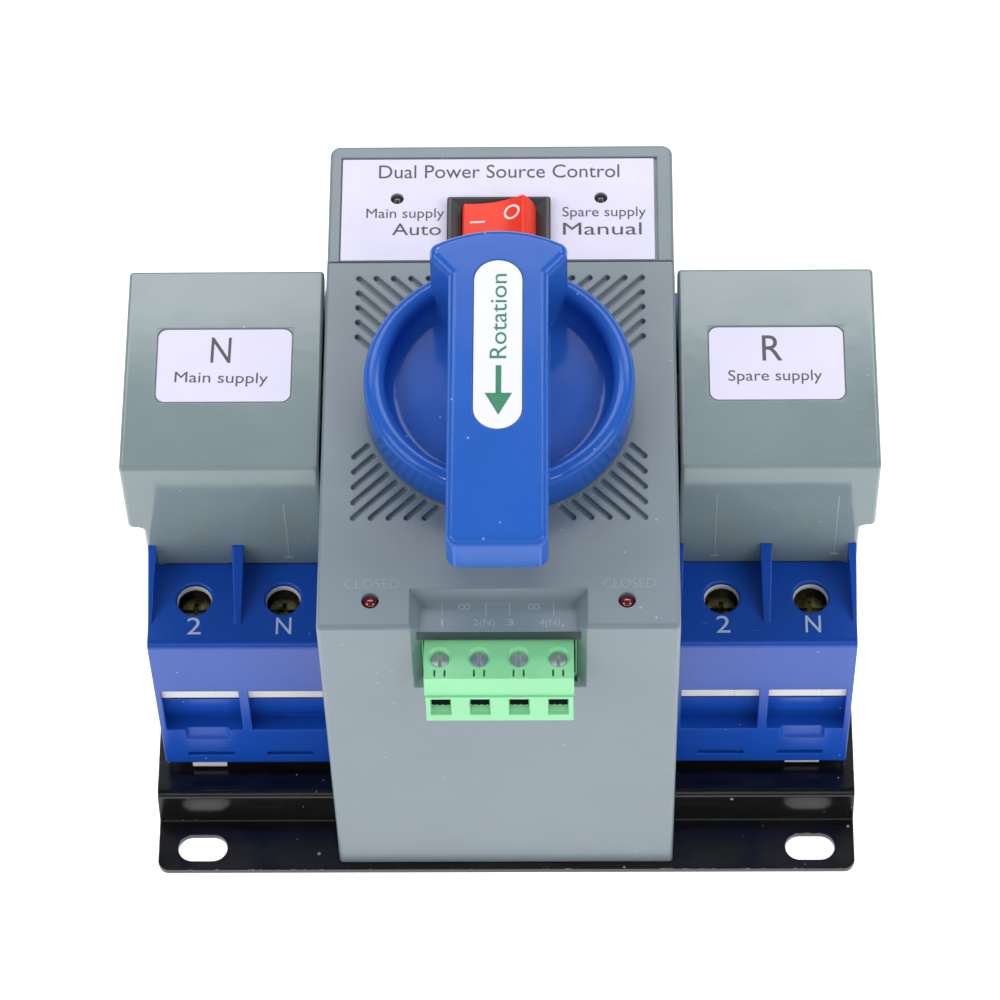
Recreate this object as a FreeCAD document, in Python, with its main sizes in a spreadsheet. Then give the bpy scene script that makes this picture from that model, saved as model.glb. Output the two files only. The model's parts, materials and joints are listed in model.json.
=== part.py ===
import FreeCAD, Part
import math
import os
from types import SimpleNamespace

import Sketcher
from FreeCAD import Placement, Rotation, Vector

# Two-pole dual-supply changeover switch. A grey actuator case with a rotary handle stands between
# two modular breakers on a Z-bent mounting plate. The frame's origin is the middle of the plate's
# underside, +Z points out of the front of the device, +X to the right-hand breaker and -Y to the
# side where the control plug leaves. All sizes are in millimetres.

SIZES = {
    # mounting plate
    "plate_width": 146.8, "plate_length": 116.1, "plate_thick": 1.5, "plate_rise": 10.0,
    "rise_half": 44.7, "rise_slope": 1.7, "plate_corner": 2.2,
    "slot_x": 64.1, "slot_y": 52.9, "slot_length": 10.4, "slot_radius": 3.1,
    # rails, breakers and their terminals
    "breaker_x": 53.4, "breaker_y": 4.45, "pole_pitch": 18.0, "pole_half": 8.6,
    "rail_half": 17.5, "rail_web_half": 13.5, "rail_height": 7.5, "rail_thick": 1.0,
    "rail_length": 36.0, "rivet_y": 8.0,
    "seam": 3.0, "shell_wall": 1.2, "shell_bottom": 12.7, "shell_half": 41.6, "shell_step_half": 37.3,
    "shell_step_top": 39.0, "shoulder": 61.6, "nose_half": 22.0, "nose_top": 78.6,
    "recess_top": 17.9, "recess_half": 17.9,
    "screw_y": 31.85, "screw_hole": 3.4, "entry_half": 5.2, "entry_low": 34.0, "entry_high": 38.8,
    "toggle_z": 71.5, "toggle_hub": 6.8, "toggle_reach": 13.61, "toggle_half": 3.4, "tie_radius": 1.5,
    "toggle_slot_half": 10.2,
    # terminal shroud
    "shroud_half": 18.15, "shroud_front": 42.85, "shroud_back": 23.6, "shroud_wall": 1.1,
    "shroud_top": 62.8, "shroud_bottom": 12.9, "shroud_edge": 1.5, "shroud_hole": 3.55,
    "window_low": 27.1, "window_high": 43.9, "mullion_half": 0.95, "window_edge": 1.25,
    "tray_depth": 3.6, "tray_back_top": 34.0, "barrier_top": 70.2, "barrier_foot": 37.8,
    # side cover
    "cover_inner": 35.6, "cover_outer": 75.05, "cover_skirt": 71.95, "cover_near": -19.1,
    "cover_far": 28.0, "cover_top": 99.6, "cover_step": 76.6, "cover_bottom": 62.9, "cover_wall": 1.9,
    "cover_end_wall": 1.1, "cover_skirt_wall": 0.6,
    "label_x": 55.05, "label_width": 26.7, "label_length": 17.05, "label_thick": 0.3,
    # centre case
    "case_half": 35.06, "case_end": 56.4, "case_far": 57.2, "case_top": 101.7, "case_wall": 2.2,
    "case_foot": 1.65, "case_split_y": 28.2, "case_split_z": 60.0, "panel_half": 35.0,
    "panel_wall": 2.0, "panel_gap": 0.3, "panel_x": -0.4, "panel_label_half": 31.7,
    "panel_label_x": -0.6, "panel_label_near": 28.9, "panel_label_far": 53.7, "label_sink": 0.5,
    "vent_y": -3.7, "vent_half_x": 28.4, "vent_half_y": 28.05, "vent_pitch": 3.5,
    "vent_radius": 0.62, "vent_depth": 0.8, "vent_inner": 28.3,
    "pocket_half": 17.2, "pocket_inner": 15.1, "pocket_far": 47.65, "shelf_far": 49.0,
    "shelf_z": 98.3, "pocket_back": 54.4, "lip_front": 55.3, "pocket_low": 77.8, "pocket_inner_low": 79.9,
    "arm_window_half": 15.4, "arm_window_low": 80.9, "arm_window_high": 87.5,
    # handle and drive
    "axis_y": -4.48, "disc_radius": 26.7, "disc_gap": 0.5, "rim_height": 9.4, "rim_width": 4.2,
    "dish_height": 3.4, "bar_half": 9.8, "bar_low": 12.2, "bar_top": 22.0, "bar_reach": 46.0,
    "head_half": 13.5, "head_far": 26.0, "flare_start": 15.2, "flare_end": 19.4,
    "tag_half": 4.85, "tag_far": 18.4, "tag_near": -20.7, "tag_sink": 0.3,
    "shaft_radius": 4.0, "shaft_low": 73.0, "bearing_gap": 0.07,
    "rack_pitch": 2.0, "pinion_teeth": 16, "rack_low": 81.8, "rack_high": 86.6,
    "gear_module": 0.8, "gear_teeth": 40, "motor_teeth": 10, "gear_low": 88.6, "gear_high": 92.4,
    "arm_half": 6.5, "arm_end": 58.0,
    "motor_radius": 10.2, "motor_low": 44.0, "motor_high": 76.9, "spindle_radius": 1.5,
    "deck_low": 77.0, "deck_high": 78.5, "deck_half": 31.0,
    # rocker switch, lamps, plug
    "rocker_y": 36.0, "rocker_tilt": 15.0, "bezel_half_x": 10.5, "bezel_half_y": 7.4,
    "bezel_height": 1.7, "bezel_low": 88.6, "bezel_floor": 1.5, "paddle_half_y": 4.8, "rocker_z": 102.3,
    "lamp_x": 20.7, "lamp_y": 44.0, "lamp_radius": 1.25, "closed_lamp_x": 24.75, "closed_lamp_y": -50.3,
    "closed_lamp_radius": 1.6,
    "plug_pitch": 7.62, "plug_half": 14.5, "plug_front": 63.4, "plug_top": 94.3, "plug_low": 78.0,
    "plug_mid": 55.5, "plug_rear": 47.5, "plug_screw_y": 58.65, "plug_screw_radius": 1.8,
}

doc = FreeCAD.newDocument("transfer_switch")
sheet = doc.addObject("Spreadsheet::Sheet", "Sizes")
for row, (alias, value) in enumerate(SIZES.items(), start=1):
    sheet.set(f"A{row}", alias)
    sheet.set(f"B{row}", str(value))
    sheet.setAlias(f"B{row}", alias)
doc.recompute()


# ---- sizes that know the sheet cells they come from ---------------------------------------------

class Size:
    """A number together with the sheet expression that gives it."""

    def __init__(self, value, text):
        self.value = float(value)
        self.text = text

    def __add__(self, other):
        other = as_size(other)
        return Size(self.value + other.value, f"({self.text} + {other.text})")

    def __sub__(self, other):
        other = as_size(other)
        return Size(self.value - other.value, f"({self.text} - {other.text})")

    def __mul__(self, other):
        other = as_size(other)
        return Size(self.value * other.value, f"({self.text} * {other.text})")

    def __truediv__(self, other):
        other = as_size(other)
        return Size(self.value / other.value, f"({self.text} / {other.text})")

    def __radd__(self, other):
        return as_size(other) + self

    def __rsub__(self, other):
        return as_size(other) - self

    def __rmul__(self, other):
        return as_size(other) * self

    def __neg__(self):
        return Size(-self.value, f"(-{self.text})")


def as_size(amount):
    """A plain number as a Size."""
    return amount if isinstance(amount, Size) else Size(amount, repr(float(amount)))


def root_of(amount):
    """The square root of a Size."""
    return Size(math.sqrt(amount.value), f"sqrt({amount.text})")


s = SimpleNamespace(**{alias: Size(value, "Sizes." + alias) for alias, value in SIZES.items()})
nodes = []
counter = {"made": 0}


def fresh(kind):
    """An object name that has not been used yet."""
    counter["made"] += 1
    return f"{kind}{counter['made']:03d}"


def bind(target, path, amount):
    """Tie one property to the sheet."""
    target.setExpression(path, as_size(amount).text)


# ---- primitives and booleans --------------------------------------------------------------------

def block(x, y, z):
    """A box between two places on each axis."""
    box = doc.addObject("Part::Box", fresh("Block"))
    for axis, length, ends in zip("xyz", ("Length", "Width", "Height"), (x, y, z)):
        low, high = sorted((as_size(end) for end in ends), key=lambda end: end.value)
        bind(box, f"Placement.Base.{axis}", low)
        bind(box, length, high - low)
    return box


AXIS_TURNS = {
    "x": Rotation(Vector(0, 1, 0), 90),
    "y": Rotation(Vector(1, 0, 0), -90),
    "z": Rotation(),
}


def rod(axis, centre, radius, ends):
    """A cylinder along one axis: centre on the two other axes, and its two ends."""
    cylinder = doc.addObject("Part::Cylinder", fresh("Rod"))
    cylinder.Placement = Placement(Vector(), AXIS_TURNS[axis])
    low, high = sorted((as_size(end) for end in ends), key=lambda end: end.value)
    others = [name for name in "xyz" if name != axis]
    bind(cylinder, f"Placement.Base.{axis}", low)
    for name, place in zip(others, centre):
        bind(cylinder, f"Placement.Base.{name}", place)
    bind(cylinder, "Radius", radius)
    bind(cylinder, "Height", high - low)
    return cylinder


def cone(centre, low, high):
    """A cone along Z: low and high are (z, radius)."""
    shape = doc.addObject("Part::Cone", fresh("Cone"))
    bind(shape, "Placement.Base.x", centre[0])
    bind(shape, "Placement.Base.y", centre[1])
    bind(shape, "Placement.Base.z", low[0])
    bind(shape, "Radius1", low[1])
    bind(shape, "Radius2", high[1])
    bind(shape, "Height", high[0] - as_size(low[0]))
    return shape


def taper(first, second):
    """A wedge between two rectangles across Y, each given as (y, (x, x), (z, z))."""
    wedge = doc.addObject("Part::Wedge", fresh("Taper"))
    first, second = sorted((first, second), key=lambda face: as_size(face[0]).value)
    bind(wedge, "Ymin", first[0])
    bind(wedge, "Ymax", second[0])
    for tag, (_, x, z) in (("", first), ("2", second)):
        for axis, pair in (("X", x), ("Z", z)):
            low, high = sorted((as_size(end) for end in pair), key=lambda end: end.value)
            bind(wedge, f"{axis}{tag}min", low)
            bind(wedge, f"{axis}{tag}max", high)
    return wedge


def joined(*pieces):
    """Several shapes fused, or kept as a group where they do not touch."""
    if len(pieces) == 1:
        return pieces[0]
    fuse = doc.addObject("Part::MultiFuse", fresh("Fuse"))
    fuse.Shapes = list(pieces)
    return fuse


def without(base, *tools):
    """A shape with other shapes cut away."""
    cut = doc.addObject("Part::Cut", fresh("Cut"))
    cut.Base = base
    cut.Tool = joined(*tools)
    return cut


def group(pieces):
    """Identical loose pieces that share one node."""
    compound = doc.addObject("Part::Compound", fresh("Group"))
    compound.Links = list(pieces)
    return compound


def node(label, piece, x=0, y=0, z=0, turn=0):
    """Name a finished sub-part and put it in its place."""
    piece.Label = label
    if any(as_size(shift).value for shift in (x, y, z)) or turn:
        piece.Placement = Placement(Vector(), Rotation(Vector(0, 0, 1), turn))
        for axis, shift in zip("xyz", (x, y, z)):
            bind(piece, f"Placement.Base.{axis}", shift)
    nodes.append(piece)
    return piece


# ---- sketched bodies ----------------------------------------------------------------------------

def edge_numbers(shape, chosen):
    """The 1-based numbers of the edges whose bounding box passes a test."""
    return [index for index, edge in enumerate(shape.Edges, start=1) if chosen(edge.BoundBox)]


def body_named(kind):
    return doc.addObject("PartDesign::Body", fresh(kind))


def sketch_on(body, role, offset):
    """A sketch on one of the body's origin planes, shifted along the plane's normal."""
    sketch = body.newObject("Sketcher::SketchObject", fresh("Sketch"))
    plane = next(part for part in body.Origin.OriginFeatures if part.Role == role)
    sketch.AttachmentSupport = (plane, [""])
    sketch.MapMode = "FlatFace"
    bind(sketch, "AttachmentOffset.Base.z", offset)
    return sketch


def pin_down(sketch, geometry, point, x, y):
    """Fix one sketch point at sheet sizes."""
    for kind, amount in (("DistanceX", as_size(x)), ("DistanceY", as_size(y))):
        rule = sketch.addConstraint(Sketcher.Constraint(kind, -1, 1, geometry, point, amount.value))
        bind(sketch, f"Constraints[{rule}]", amount)


def set_radius(sketch, geometry, radius):
    radius = as_size(radius)
    rule = sketch.addConstraint(Sketcher.Constraint("Radius", geometry, radius.value))
    bind(sketch, f"Constraints[{rule}]", radius)


def polygon(sketch, corners):
    """A closed outline. A corner is (x, y), or (x, y, radius) where an arc leads to the next
    corner: a positive radius bulges to the right of the way there, a negative one to the left."""
    corners = [tuple(as_size(value) for value in corner) for corner in corners]
    first = sketch.GeometryCount
    for here, there in zip(corners, corners[1:] + corners[:1]):
        start = Vector(here[0].value, here[1].value, 0)
        end = Vector(there[0].value, there[1].value, 0)
        if len(here) == 2:
            sketch.addGeometry(Part.LineSegment(start, end))
            continue
        chord = end - start
        across = Vector(chord.y, -chord.x, 0).normalize()
        radius = abs(here[2].value)
        rise = radius - math.sqrt(radius ** 2 - chord.Length ** 2 / 4)
        side = 1 if here[2].value > 0 else -1
        middle = (start + end) * 0.5 + across * rise * side
        sketch.addGeometry(Part.Arc(start, middle, end))
    count = len(corners)
    ends = []
    for index, corner in enumerate(corners):
        bulge = corner[2].value if len(corner) == 3 else 0
        ends.append((1, 2) if bulge >= 0 else (2, 1))
    for index in range(count):
        after = (index + 1) % count
        sketch.addConstraint(Sketcher.Constraint(
            "Coincident", first + index, ends[index][1], first + after, ends[after][0]))
    for index, corner in enumerate(corners):
        pin_down(sketch, first + index, ends[index][0], corner[0], corner[1])
        if len(corner) == 3:
            size = corner[2] if corner[2].value > 0 else -corner[2]
            set_radius(sketch, first + index, size)


def circle(sketch, x, y, radius):
    """A full circle."""
    place = Vector(as_size(x).value, as_size(y).value, 0)
    made = sketch.addGeometry(Part.Circle(place, Vector(0, 0, 1), as_size(radius).value))
    pin_down(sketch, made, 3, x, y)
    set_radius(sketch, made, radius)


def obround(sketch, start, end, radius):
    """A slot with round ends about two centres."""
    start = [as_size(value) for value in start]
    end = [as_size(value) for value in end]
    radius = as_size(radius)
    a = Vector(start[0].value, start[1].value, 0)
    b = Vector(end[0].value, end[1].value, 0)
    along = (b - a).normalize()
    left = Vector(-along.y, along.x, 0) * radius.value
    heading = math.atan2(along.y, along.x)
    up = Vector(0, 0, 1)
    side_left = sketch.addGeometry(Part.LineSegment(a + left, b + left))
    cap_end = sketch.addGeometry(Part.ArcOfCircle(
        Part.Circle(b, up, radius.value), heading - math.pi / 2, heading + math.pi / 2))
    side_right = sketch.addGeometry(Part.LineSegment(b - left, a - left))
    cap_start = sketch.addGeometry(Part.ArcOfCircle(
        Part.Circle(a, up, radius.value), heading + math.pi / 2, heading + 3 * math.pi / 2))
    touching = ((side_left, 2, cap_end, 2), (cap_end, 1, side_right, 1),
                (side_right, 2, cap_start, 2), (cap_start, 1, side_left, 1))
    for one, one_end, other, other_end in touching:
        sketch.addConstraint(Sketcher.Constraint("Tangent", one, one_end, other, other_end))
    sketch.addConstraint(Sketcher.Constraint("Equal", cap_end, cap_start))
    pin_down(sketch, cap_end, 3, *end)
    pin_down(sketch, cap_start, 3, *start)
    set_radius(sketch, cap_end, radius)


def extruded(body, kind, role, ends, draw):
    """Pad or pocket what draw() puts in a sketch, between two places across the plane."""
    low, high = sorted((as_size(end) for end in ends), key=lambda end: end.value)
    offset = -high if role == "XZ_Plane" else low
    sketch = sketch_on(body, role, offset)
    draw(sketch)
    feature = body.newObject(f"PartDesign::{kind}", fresh(kind))
    feature.Profile = sketch
    bind(feature, "Length", high - low)
    feature.Reversed = kind == "Pocket"
    return feature


def pad(body, role, ends, draw):
    return extruded(body, "Pad", role, ends, draw)


def pocket(body, role, ends, draw):
    """A pocket that has to take material away."""
    doc.recompute()
    before = body.Shape.Volume
    feature = extruded(body, "Pocket", role, ends, draw)
    doc.recompute()
    if body.Shape.Volume > before - 1e-6:
        raise RuntimeError(f"{feature.Name} cuts nothing")
    return feature


def soften(body, kind, size, chosen):
    """Fillet or chamfer the picked edges of the body as it stands."""
    doc.recompute()
    tip = body.Tip
    picked = [f"Edge{index}" for index in edge_numbers(tip.Shape, chosen)]
    feature = body.newObject(f"PartDesign::{kind}", fresh(kind))
    feature.Base = (tip, picked)
    bind(feature, "Radius" if kind == "Fillet" else "Size", size)
    return feature


def flat(box, axis, place):
    """Whether a bounding box lies in the plane where one axis has one value."""
    low, high = getattr(box, axis + "Min"), getattr(box, axis + "Max")
    place = as_size(place).value
    return abs(low - place) < 1e-3 and abs(high - place) < 1e-3


def long_in(box, axis, least=1.0):
    """Whether a straight edge runs along one axis for at least some length."""
    others = [name for name in "XYZ" if name != axis]
    thin = all(getattr(box, name + "Length") < 1e-3 for name in others)
    return thin and getattr(box, axis + "Length") > least


# ---- mounting plate and rails -------------------------------------------------------------------

def base_plate():
    """Black steel plate: a raised middle between two flanges, with a slot in each corner."""
    body = body_named("Plate")
    end, top, thick = s.plate_length / 2, s.plate_rise, s.plate_thick
    foot = s.rise_half + s.rise_slope

    def outline(sketch):
        polygon(sketch, [
            (-end, 0), (-foot + thick, 0), (-s.rise_half + thick, top - thick),
            (s.rise_half - thick, top - thick), (foot - thick, 0), (end, 0), (end, thick),
            (foot, thick), (s.rise_half, top), (-s.rise_half, top), (-foot, thick), (-end, thick)])

    def slots(sketch):
        half = s.slot_length / 2 - s.slot_radius
        for x in (-s.slot_x, s.slot_x):
            for y in (-s.slot_y, s.slot_y):
                obround(sketch, (x - half, y), (x + half, y), s.slot_radius)

    def drillings(sketch):
        for x, y in base_screw_places():
            circle(sketch, x, y, 1.8)
        for x, y in rail_rivet_places():
            circle(sketch, x, y, 1.6)

    pad(body, "YZ_Plane", (-s.plate_width / 2, s.plate_width / 2), outline)
    pocket(body, "XY_Plane", (-1, top + 1), slots)
    pocket(body, "XY_Plane", (-1, top + 1), drillings)
    soften(body, "Fillet", s.plate_corner,
           lambda box: long_in(box, "Z") and abs(abs(box.YMin) - end.value) < 1e-3)
    soften(body, "Fillet", thick, lambda box: long_in(box, "X", 50) and (
        flat(box, "Z", top) or (flat(box, "Z", 0) and abs(abs(box.YMin) - 44.9) < 0.1)))
    soften(body, "Fillet", thick / 3, lambda box: long_in(box, "X", 50) and (
        flat(box, "Z", top - thick) or flat(box, "Z", thick) and abs(abs(box.YMin) - foot.value) < 1e-3))
    return node("base_plate", body)


def base_screw_places():
    """Under-plate screws: four into the case's corner posts and four into the chassis feet."""
    corners = [(x, y) for x in (-28.4, 28.4) for y in (-39.0, 39.0)]
    feet = [(x, y) for x in (-24.0, 24.0) for y in (-20.0, 8.0)]
    return corners + feet


def rail_rivet_places():
    """Two rivets through each rail's web."""
    return [(side * s.breaker_x + shift, s.breaker_y)
            for side in (-1, 1) for shift in (-s.rivet_y, s.rivet_y)]


def din_rails():
    """Two short top-hat rails, one under each breaker."""
    rails = []
    low, lip = s.plate_rise, s.plate_rise + s.rail_height
    for side in (-1, 1):
        middle = side * s.breaker_x
        span = (middle - s.rail_length / 2, middle + s.rail_length / 2)
        web = block(span, (s.breaker_y - s.rail_web_half, s.breaker_y + s.rail_web_half),
                    (low, low + s.rail_thick))
        parts = [web]
        for way in (-1, 1):
            wall = s.breaker_y + way * s.rail_web_half
            edge = s.breaker_y + way * s.rail_half
            parts.append(block(span, (wall - way * s.rail_thick, wall), (low, lip)))
            parts.append(block(span, (wall - way * s.rail_thick, edge), (lip - s.rail_thick, lip)))
        holes = [rod("z", place, 1.6, (low - 1, low + 3)) for place in rail_rivet_places()]
        rails.append(without(joined(*parts), *holes))
    return node("din_rails", group(rails))


def rail_rivets():
    """Round-head rivets that hold the rails to the plate."""
    under, top = s.plate_rise - s.plate_thick, s.plate_rise + s.rail_thick
    rivets = [joined(rod("z", place, 1.6, (under, top)),
                     cone(place, (top, 2.8), (top + 1.2, 1.6)),
                     cone(place, (under - 1.2, 1.8), (under, 2.8)))
              for place in rail_rivet_places()]
    return node("rail_rivets", group(rivets))


def base_screws():
    """Pan-head screws up through the plate."""
    under = s.plate_rise - s.plate_thick
    screws = []
    for place in base_screw_places():
        head = without(rod("z", place, 2.9, (under - 2.0, under)),
                       block((place[0] - 1.9, place[0] + 1.9), (place[1] - 0.35, place[1] + 0.35),
                             (under - 2.0, under - 1.2)),
                       block((place[0] - 0.35, place[0] + 0.35), (place[1] - 1.9, place[1] + 1.9),
                             (under - 2.0, under - 1.2)))
        screws.append(joined(head, rod("z", place, 1.5, (under, under + 7.0))))
    return node("base_screws", group(screws))


# ---- breakers -----------------------------------------------------------------------------------

def pole_middles():
    """Each pole's name and the X of its middle."""
    return [(f"{name}_breaker_pole_{number}", side * s.breaker_x + way * s.pole_pitch / 2)
            for name, side in (("left", -1), ("right", 1)) for number, way in ((1, -1), (2, 1))]


def shell_outline(sketch):
    """Side view of a pole: feet on the rail, terminals at both ends, the nose on top."""
    half = [
        (s.recess_half, s.recess_top), (s.recess_half, s.shell_bottom),
        (s.shell_step_half, s.shell_bottom), (s.shell_step_half, s.shell_step_top),
        (s.shell_half, s.shell_step_top), (s.shell_half, s.shoulder),
        (s.nose_half, s.shoulder), (s.nose_half, s.nose_top)]
    polygon(sketch, half + [(-y, z) for y, z in reversed(half)])


def shell_cavity(sketch):
    """The same outline, one wall inside."""
    wall = s.shell_wall
    low = s.recess_top + wall
    half = [
        (s.shell_step_half - wall, low), (s.shell_step_half - wall, s.shell_step_top + wall),
        (s.shell_half - wall, s.shell_step_top + wall), (s.shell_half - wall, s.shoulder - wall),
        (s.nose_half - wall, s.shoulder - wall), (s.nose_half - wall, s.nose_top - wall)]
    polygon(sketch, half + [(-y, z) for y, z in reversed(half)])


def shell_half(label, middle, outer, latch_way):
    """One half of a pole's moulded shell, from its outer side to the parting plane."""
    body = body_named("Shell")
    way = -1 if outer.value < s.seam.value else 1
    pad(body, "YZ_Plane", (outer, s.seam), shell_outline)
    soften(body, "Fillet", 0.5, lambda box: long_in(box, "X") and (
        flat(box, "Z", s.shoulder) or flat(box, "Z", s.nose_top)))
    pocket(body, "YZ_Plane", (outer - way * s.shell_wall, s.seam - way), shell_cavity)
    tools = []
    for end in (-1, 1):
        screw = end * s.screw_y
        tools.append(rod("z", (0, screw), s.screw_hole, (s.shoulder - 4, s.shoulder + 1)))
        tools.append(block((-s.entry_half, s.entry_half), (end * (s.shell_step_half - 2), end * 45),
                           (s.entry_low, s.entry_high)))
        tools.append(rod("x", (end * 34.6, 24.0), 1.55, (-10, 10)))
        tools.append(rod("x", (end * 17.0, 72.0), 1.55, (-10, 10)))
    tools.append(block((-s.toggle_half - 0.4, s.toggle_half + 0.4),
                       (-s.toggle_slot_half, s.toggle_slot_half),
                       (s.nose_top - s.shell_wall - 1, s.nose_top + 1)))
    tools.append(rod("x", (0, s.toggle_z), 1.6, (-10, 10)))
    if latch_way:
        tools.append(block((-4.0, 4.0), (-21.2, -17.8), (12.0, 16.6)))
    return node(label, without(body, *tools), x=middle, y=s.breaker_y)


def breaker_shells():
    for label, middle in pole_middles():
        outermost = abs(middle.value) > s.breaker_x.value
        shell_half(label + "_base", middle, -s.pole_half, outermost)
        shell_half(label + "_cover", middle, s.pole_half, outermost)


def shell_rivets():
    """Long rivets through both poles of each breaker."""
    rivets = []
    for side in (-1, 1):
        middle = side * s.breaker_x
        reach = s.pole_pitch / 2 + s.pole_half
        for y, z in ((-34.6, 24.0), (34.6, 24.0), (-17.0, 72.0), (17.0, 72.0)):
            rivets.append(rod("x", (s.breaker_y + y, z), 1.55, (middle - reach, middle + reach)))
    return node("shell_rivets", group(rivets))


def toggles(name, side):
    """Both poles' toggles with their tie bar and pivot pin."""
    pieces = []
    reach = s.toggle_z + s.toggle_reach
    for way in (-1, 1):
        middle = way * s.pole_pitch / 2
        span = (middle - s.toggle_half, middle + s.toggle_half)
        pieces.append(rod("x", (0, s.toggle_z), s.toggle_hub, span))
        pieces.append(taper_up(span, (s.toggle_z, 3.0), (reach, s.tie_radius)))
        pieces.append(rod("x", (0, reach), s.tie_radius, span))
    bar = s.pole_pitch / 2
    pieces.append(rod("x", (0, reach), s.tie_radius, (-bar, bar)))
    pin = s.pole_pitch / 2 + s.pole_half - 0.3
    pieces.append(rod("x", (0, s.toggle_z), 1.5, (-pin, pin)))
    return node(name, joined(*pieces), x=side * s.breaker_x, y=s.breaker_y)


def taper_up(x, low, high):
    """A lever blade along Z: low and high are (z, half thickness in Y)."""
    body = body_named("Blade")
    pad(body, "YZ_Plane", x, lambda sketch: polygon(sketch, [
        (-low[1], low[0]), (low[1], low[0]), (high[1], high[0]), (-high[1], high[0])]))
    return body


def rail_latch(name, side):
    """Sprung slide under a breaker's outer pole that hooks the rail's near lip."""
    middle = side * (s.breaker_x + s.pole_pitch / 2)
    near = 42.9 if side < 0 else 42.3
    strip = block((middle - 3.6, middle + 3.6), (s.breaker_y - near, s.breaker_y - 15.4), (11.1, 12.5))
    hook = block((middle - 3.6, middle + 3.6), (s.breaker_y - 16.5, s.breaker_y - 15.4), (12.5, 16.0))
    slot = block((middle - 1.7, middle + 1.7), (s.breaker_y - 41.6, s.breaker_y - 40.4), (11, 13))
    return node(name, without(joined(strip, hook), slot))


def contact_arms(name, side):
    """A moving contact arm in each pole, on its own pivot pin."""
    pieces = []
    for way in (-1, 1):
        middle = way * s.pole_pitch / 2
        pieces.append(block((middle - 2.0, middle + 2.0), (4.5, 7.5), (31.0, 56.0)))
        pieces.append(block((middle - 2.2, middle + 2.2), (7.5, 8.4), (31.2, 34.6)))
        pieces.append(rod("x", (6.0, 52.0), 2.6, (middle - 2.0, middle + 2.0)))
        pieces.append(rod("x", (6.0, 52.0), 1.2, (middle - 6.4, middle + 6.4)))
    return node(name, joined(*pieces), x=side * s.breaker_x, y=s.breaker_y)


def pole_group(label, draw):
    """One internal piece in every pole, as a group."""
    pieces = []
    for _, middle in pole_middles():
        piece = draw()
        piece.Placement = Placement()
        for axis, shift in (("x", middle), ("y", s.breaker_y)):
            bind(piece, f"Placement.Base.{axis}", shift)
        pieces.append(piece)
    return node(label, group(pieces))


def arc_chute():
    """Steel splitter plates in a fibre frame."""
    frame = block((-5.2, 5.2), (14.5, 33.0), (20.4, 31.4))
    gaps = [block((-4.4, 4.4), (15.6 + 2.1 * step, 16.8 + 2.1 * step), (20.0, 30.4))
            for step in range(8)]
    return without(frame, *gaps)


def trip_coil():
    """Magnetic trip: a winding on a bobbin with its plunger."""
    winding = rod("y", (-1.0, 49.6), 4.9, (12.4, 22.6))
    flanges = [rod("y", (-1.0, 49.6), 5.6, ends) for ends in ((11.6, 12.4), (22.6, 23.4))]
    plunger = rod("y", (-1.0, 49.6), 1.2, (10.4, 24.6))
    return joined(winding, plunger, *flanges)


def fixed_contact():
    """Contact strip from the far terminal to the arm."""
    strip = block((-3.0, 3.0), (12.2, 26.9), (34.8, 36.0))
    pad_block = block((-3.0, 3.0), (12.2, 13.4), (31.4, 36.0))
    button = rod("y", (0, 33.0), 1.8, (11.6, 12.2))
    return joined(strip, pad_block, button)


def bimetal():
    """Thermal trip strip on its foot by the near terminal."""
    strip = block((-2.6, 2.6), (-14.4, -13.4), (36.2, 57.0))
    foot = block((-2.6, 2.6), (-26.9, -13.4), (35.0, 36.2))
    return joined(strip, foot)


def terminal_clamps(name, side):
    """Cage clamps behind the wire entries."""
    cages = []
    for way in (-1, 1):
        middle = side * s.breaker_x + way * s.pole_pitch / 2
        for end in (-1, 1):
            near, far = s.breaker_y + end * 36.0, s.breaker_y + end * 27.2
            cage = block((middle - 5.4, middle + 5.4), (near, far), (s.entry_low - 0.4, 47.5))
            wire = block((middle - 4.2, middle + 4.2), (near + end, far - end), (s.entry_low + 0.3, 42.8))
            thread = rod("z", (middle, s.breaker_y + end * s.screw_y), 2.3, (42, 48))
            cages.append(without(cage, wire, thread))
    return node(name, group(cages))


def terminal_screws(name, side):
    """Combination-head terminal screws at the bottom of the screw wells."""
    screws = []
    for way in (-1, 1):
        for end in (-1, 1):
            place = (side * s.breaker_x + way * s.pole_pitch / 2, s.breaker_y + end * s.screw_y)
            head = rod("z", place, 3.1, (54.6, 57.6))
            slot = block((place[0] - 3.2, place[0] + 3.2), (place[1] - 0.45, place[1] + 0.45), (56.4, 58))
            cross = block((place[0] - 0.45, place[0] + 0.45), (place[1] - 2.0, place[1] + 2.0), (56.0, 58))
            shank = rod("z", place, 2.25, (43.0, 54.6))
            screws.append(joined(without(head, slot, cross), shank))
    return node(name, group(screws))


# ---- terminal shrouds ---------------------------------------------------------------------------

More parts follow.
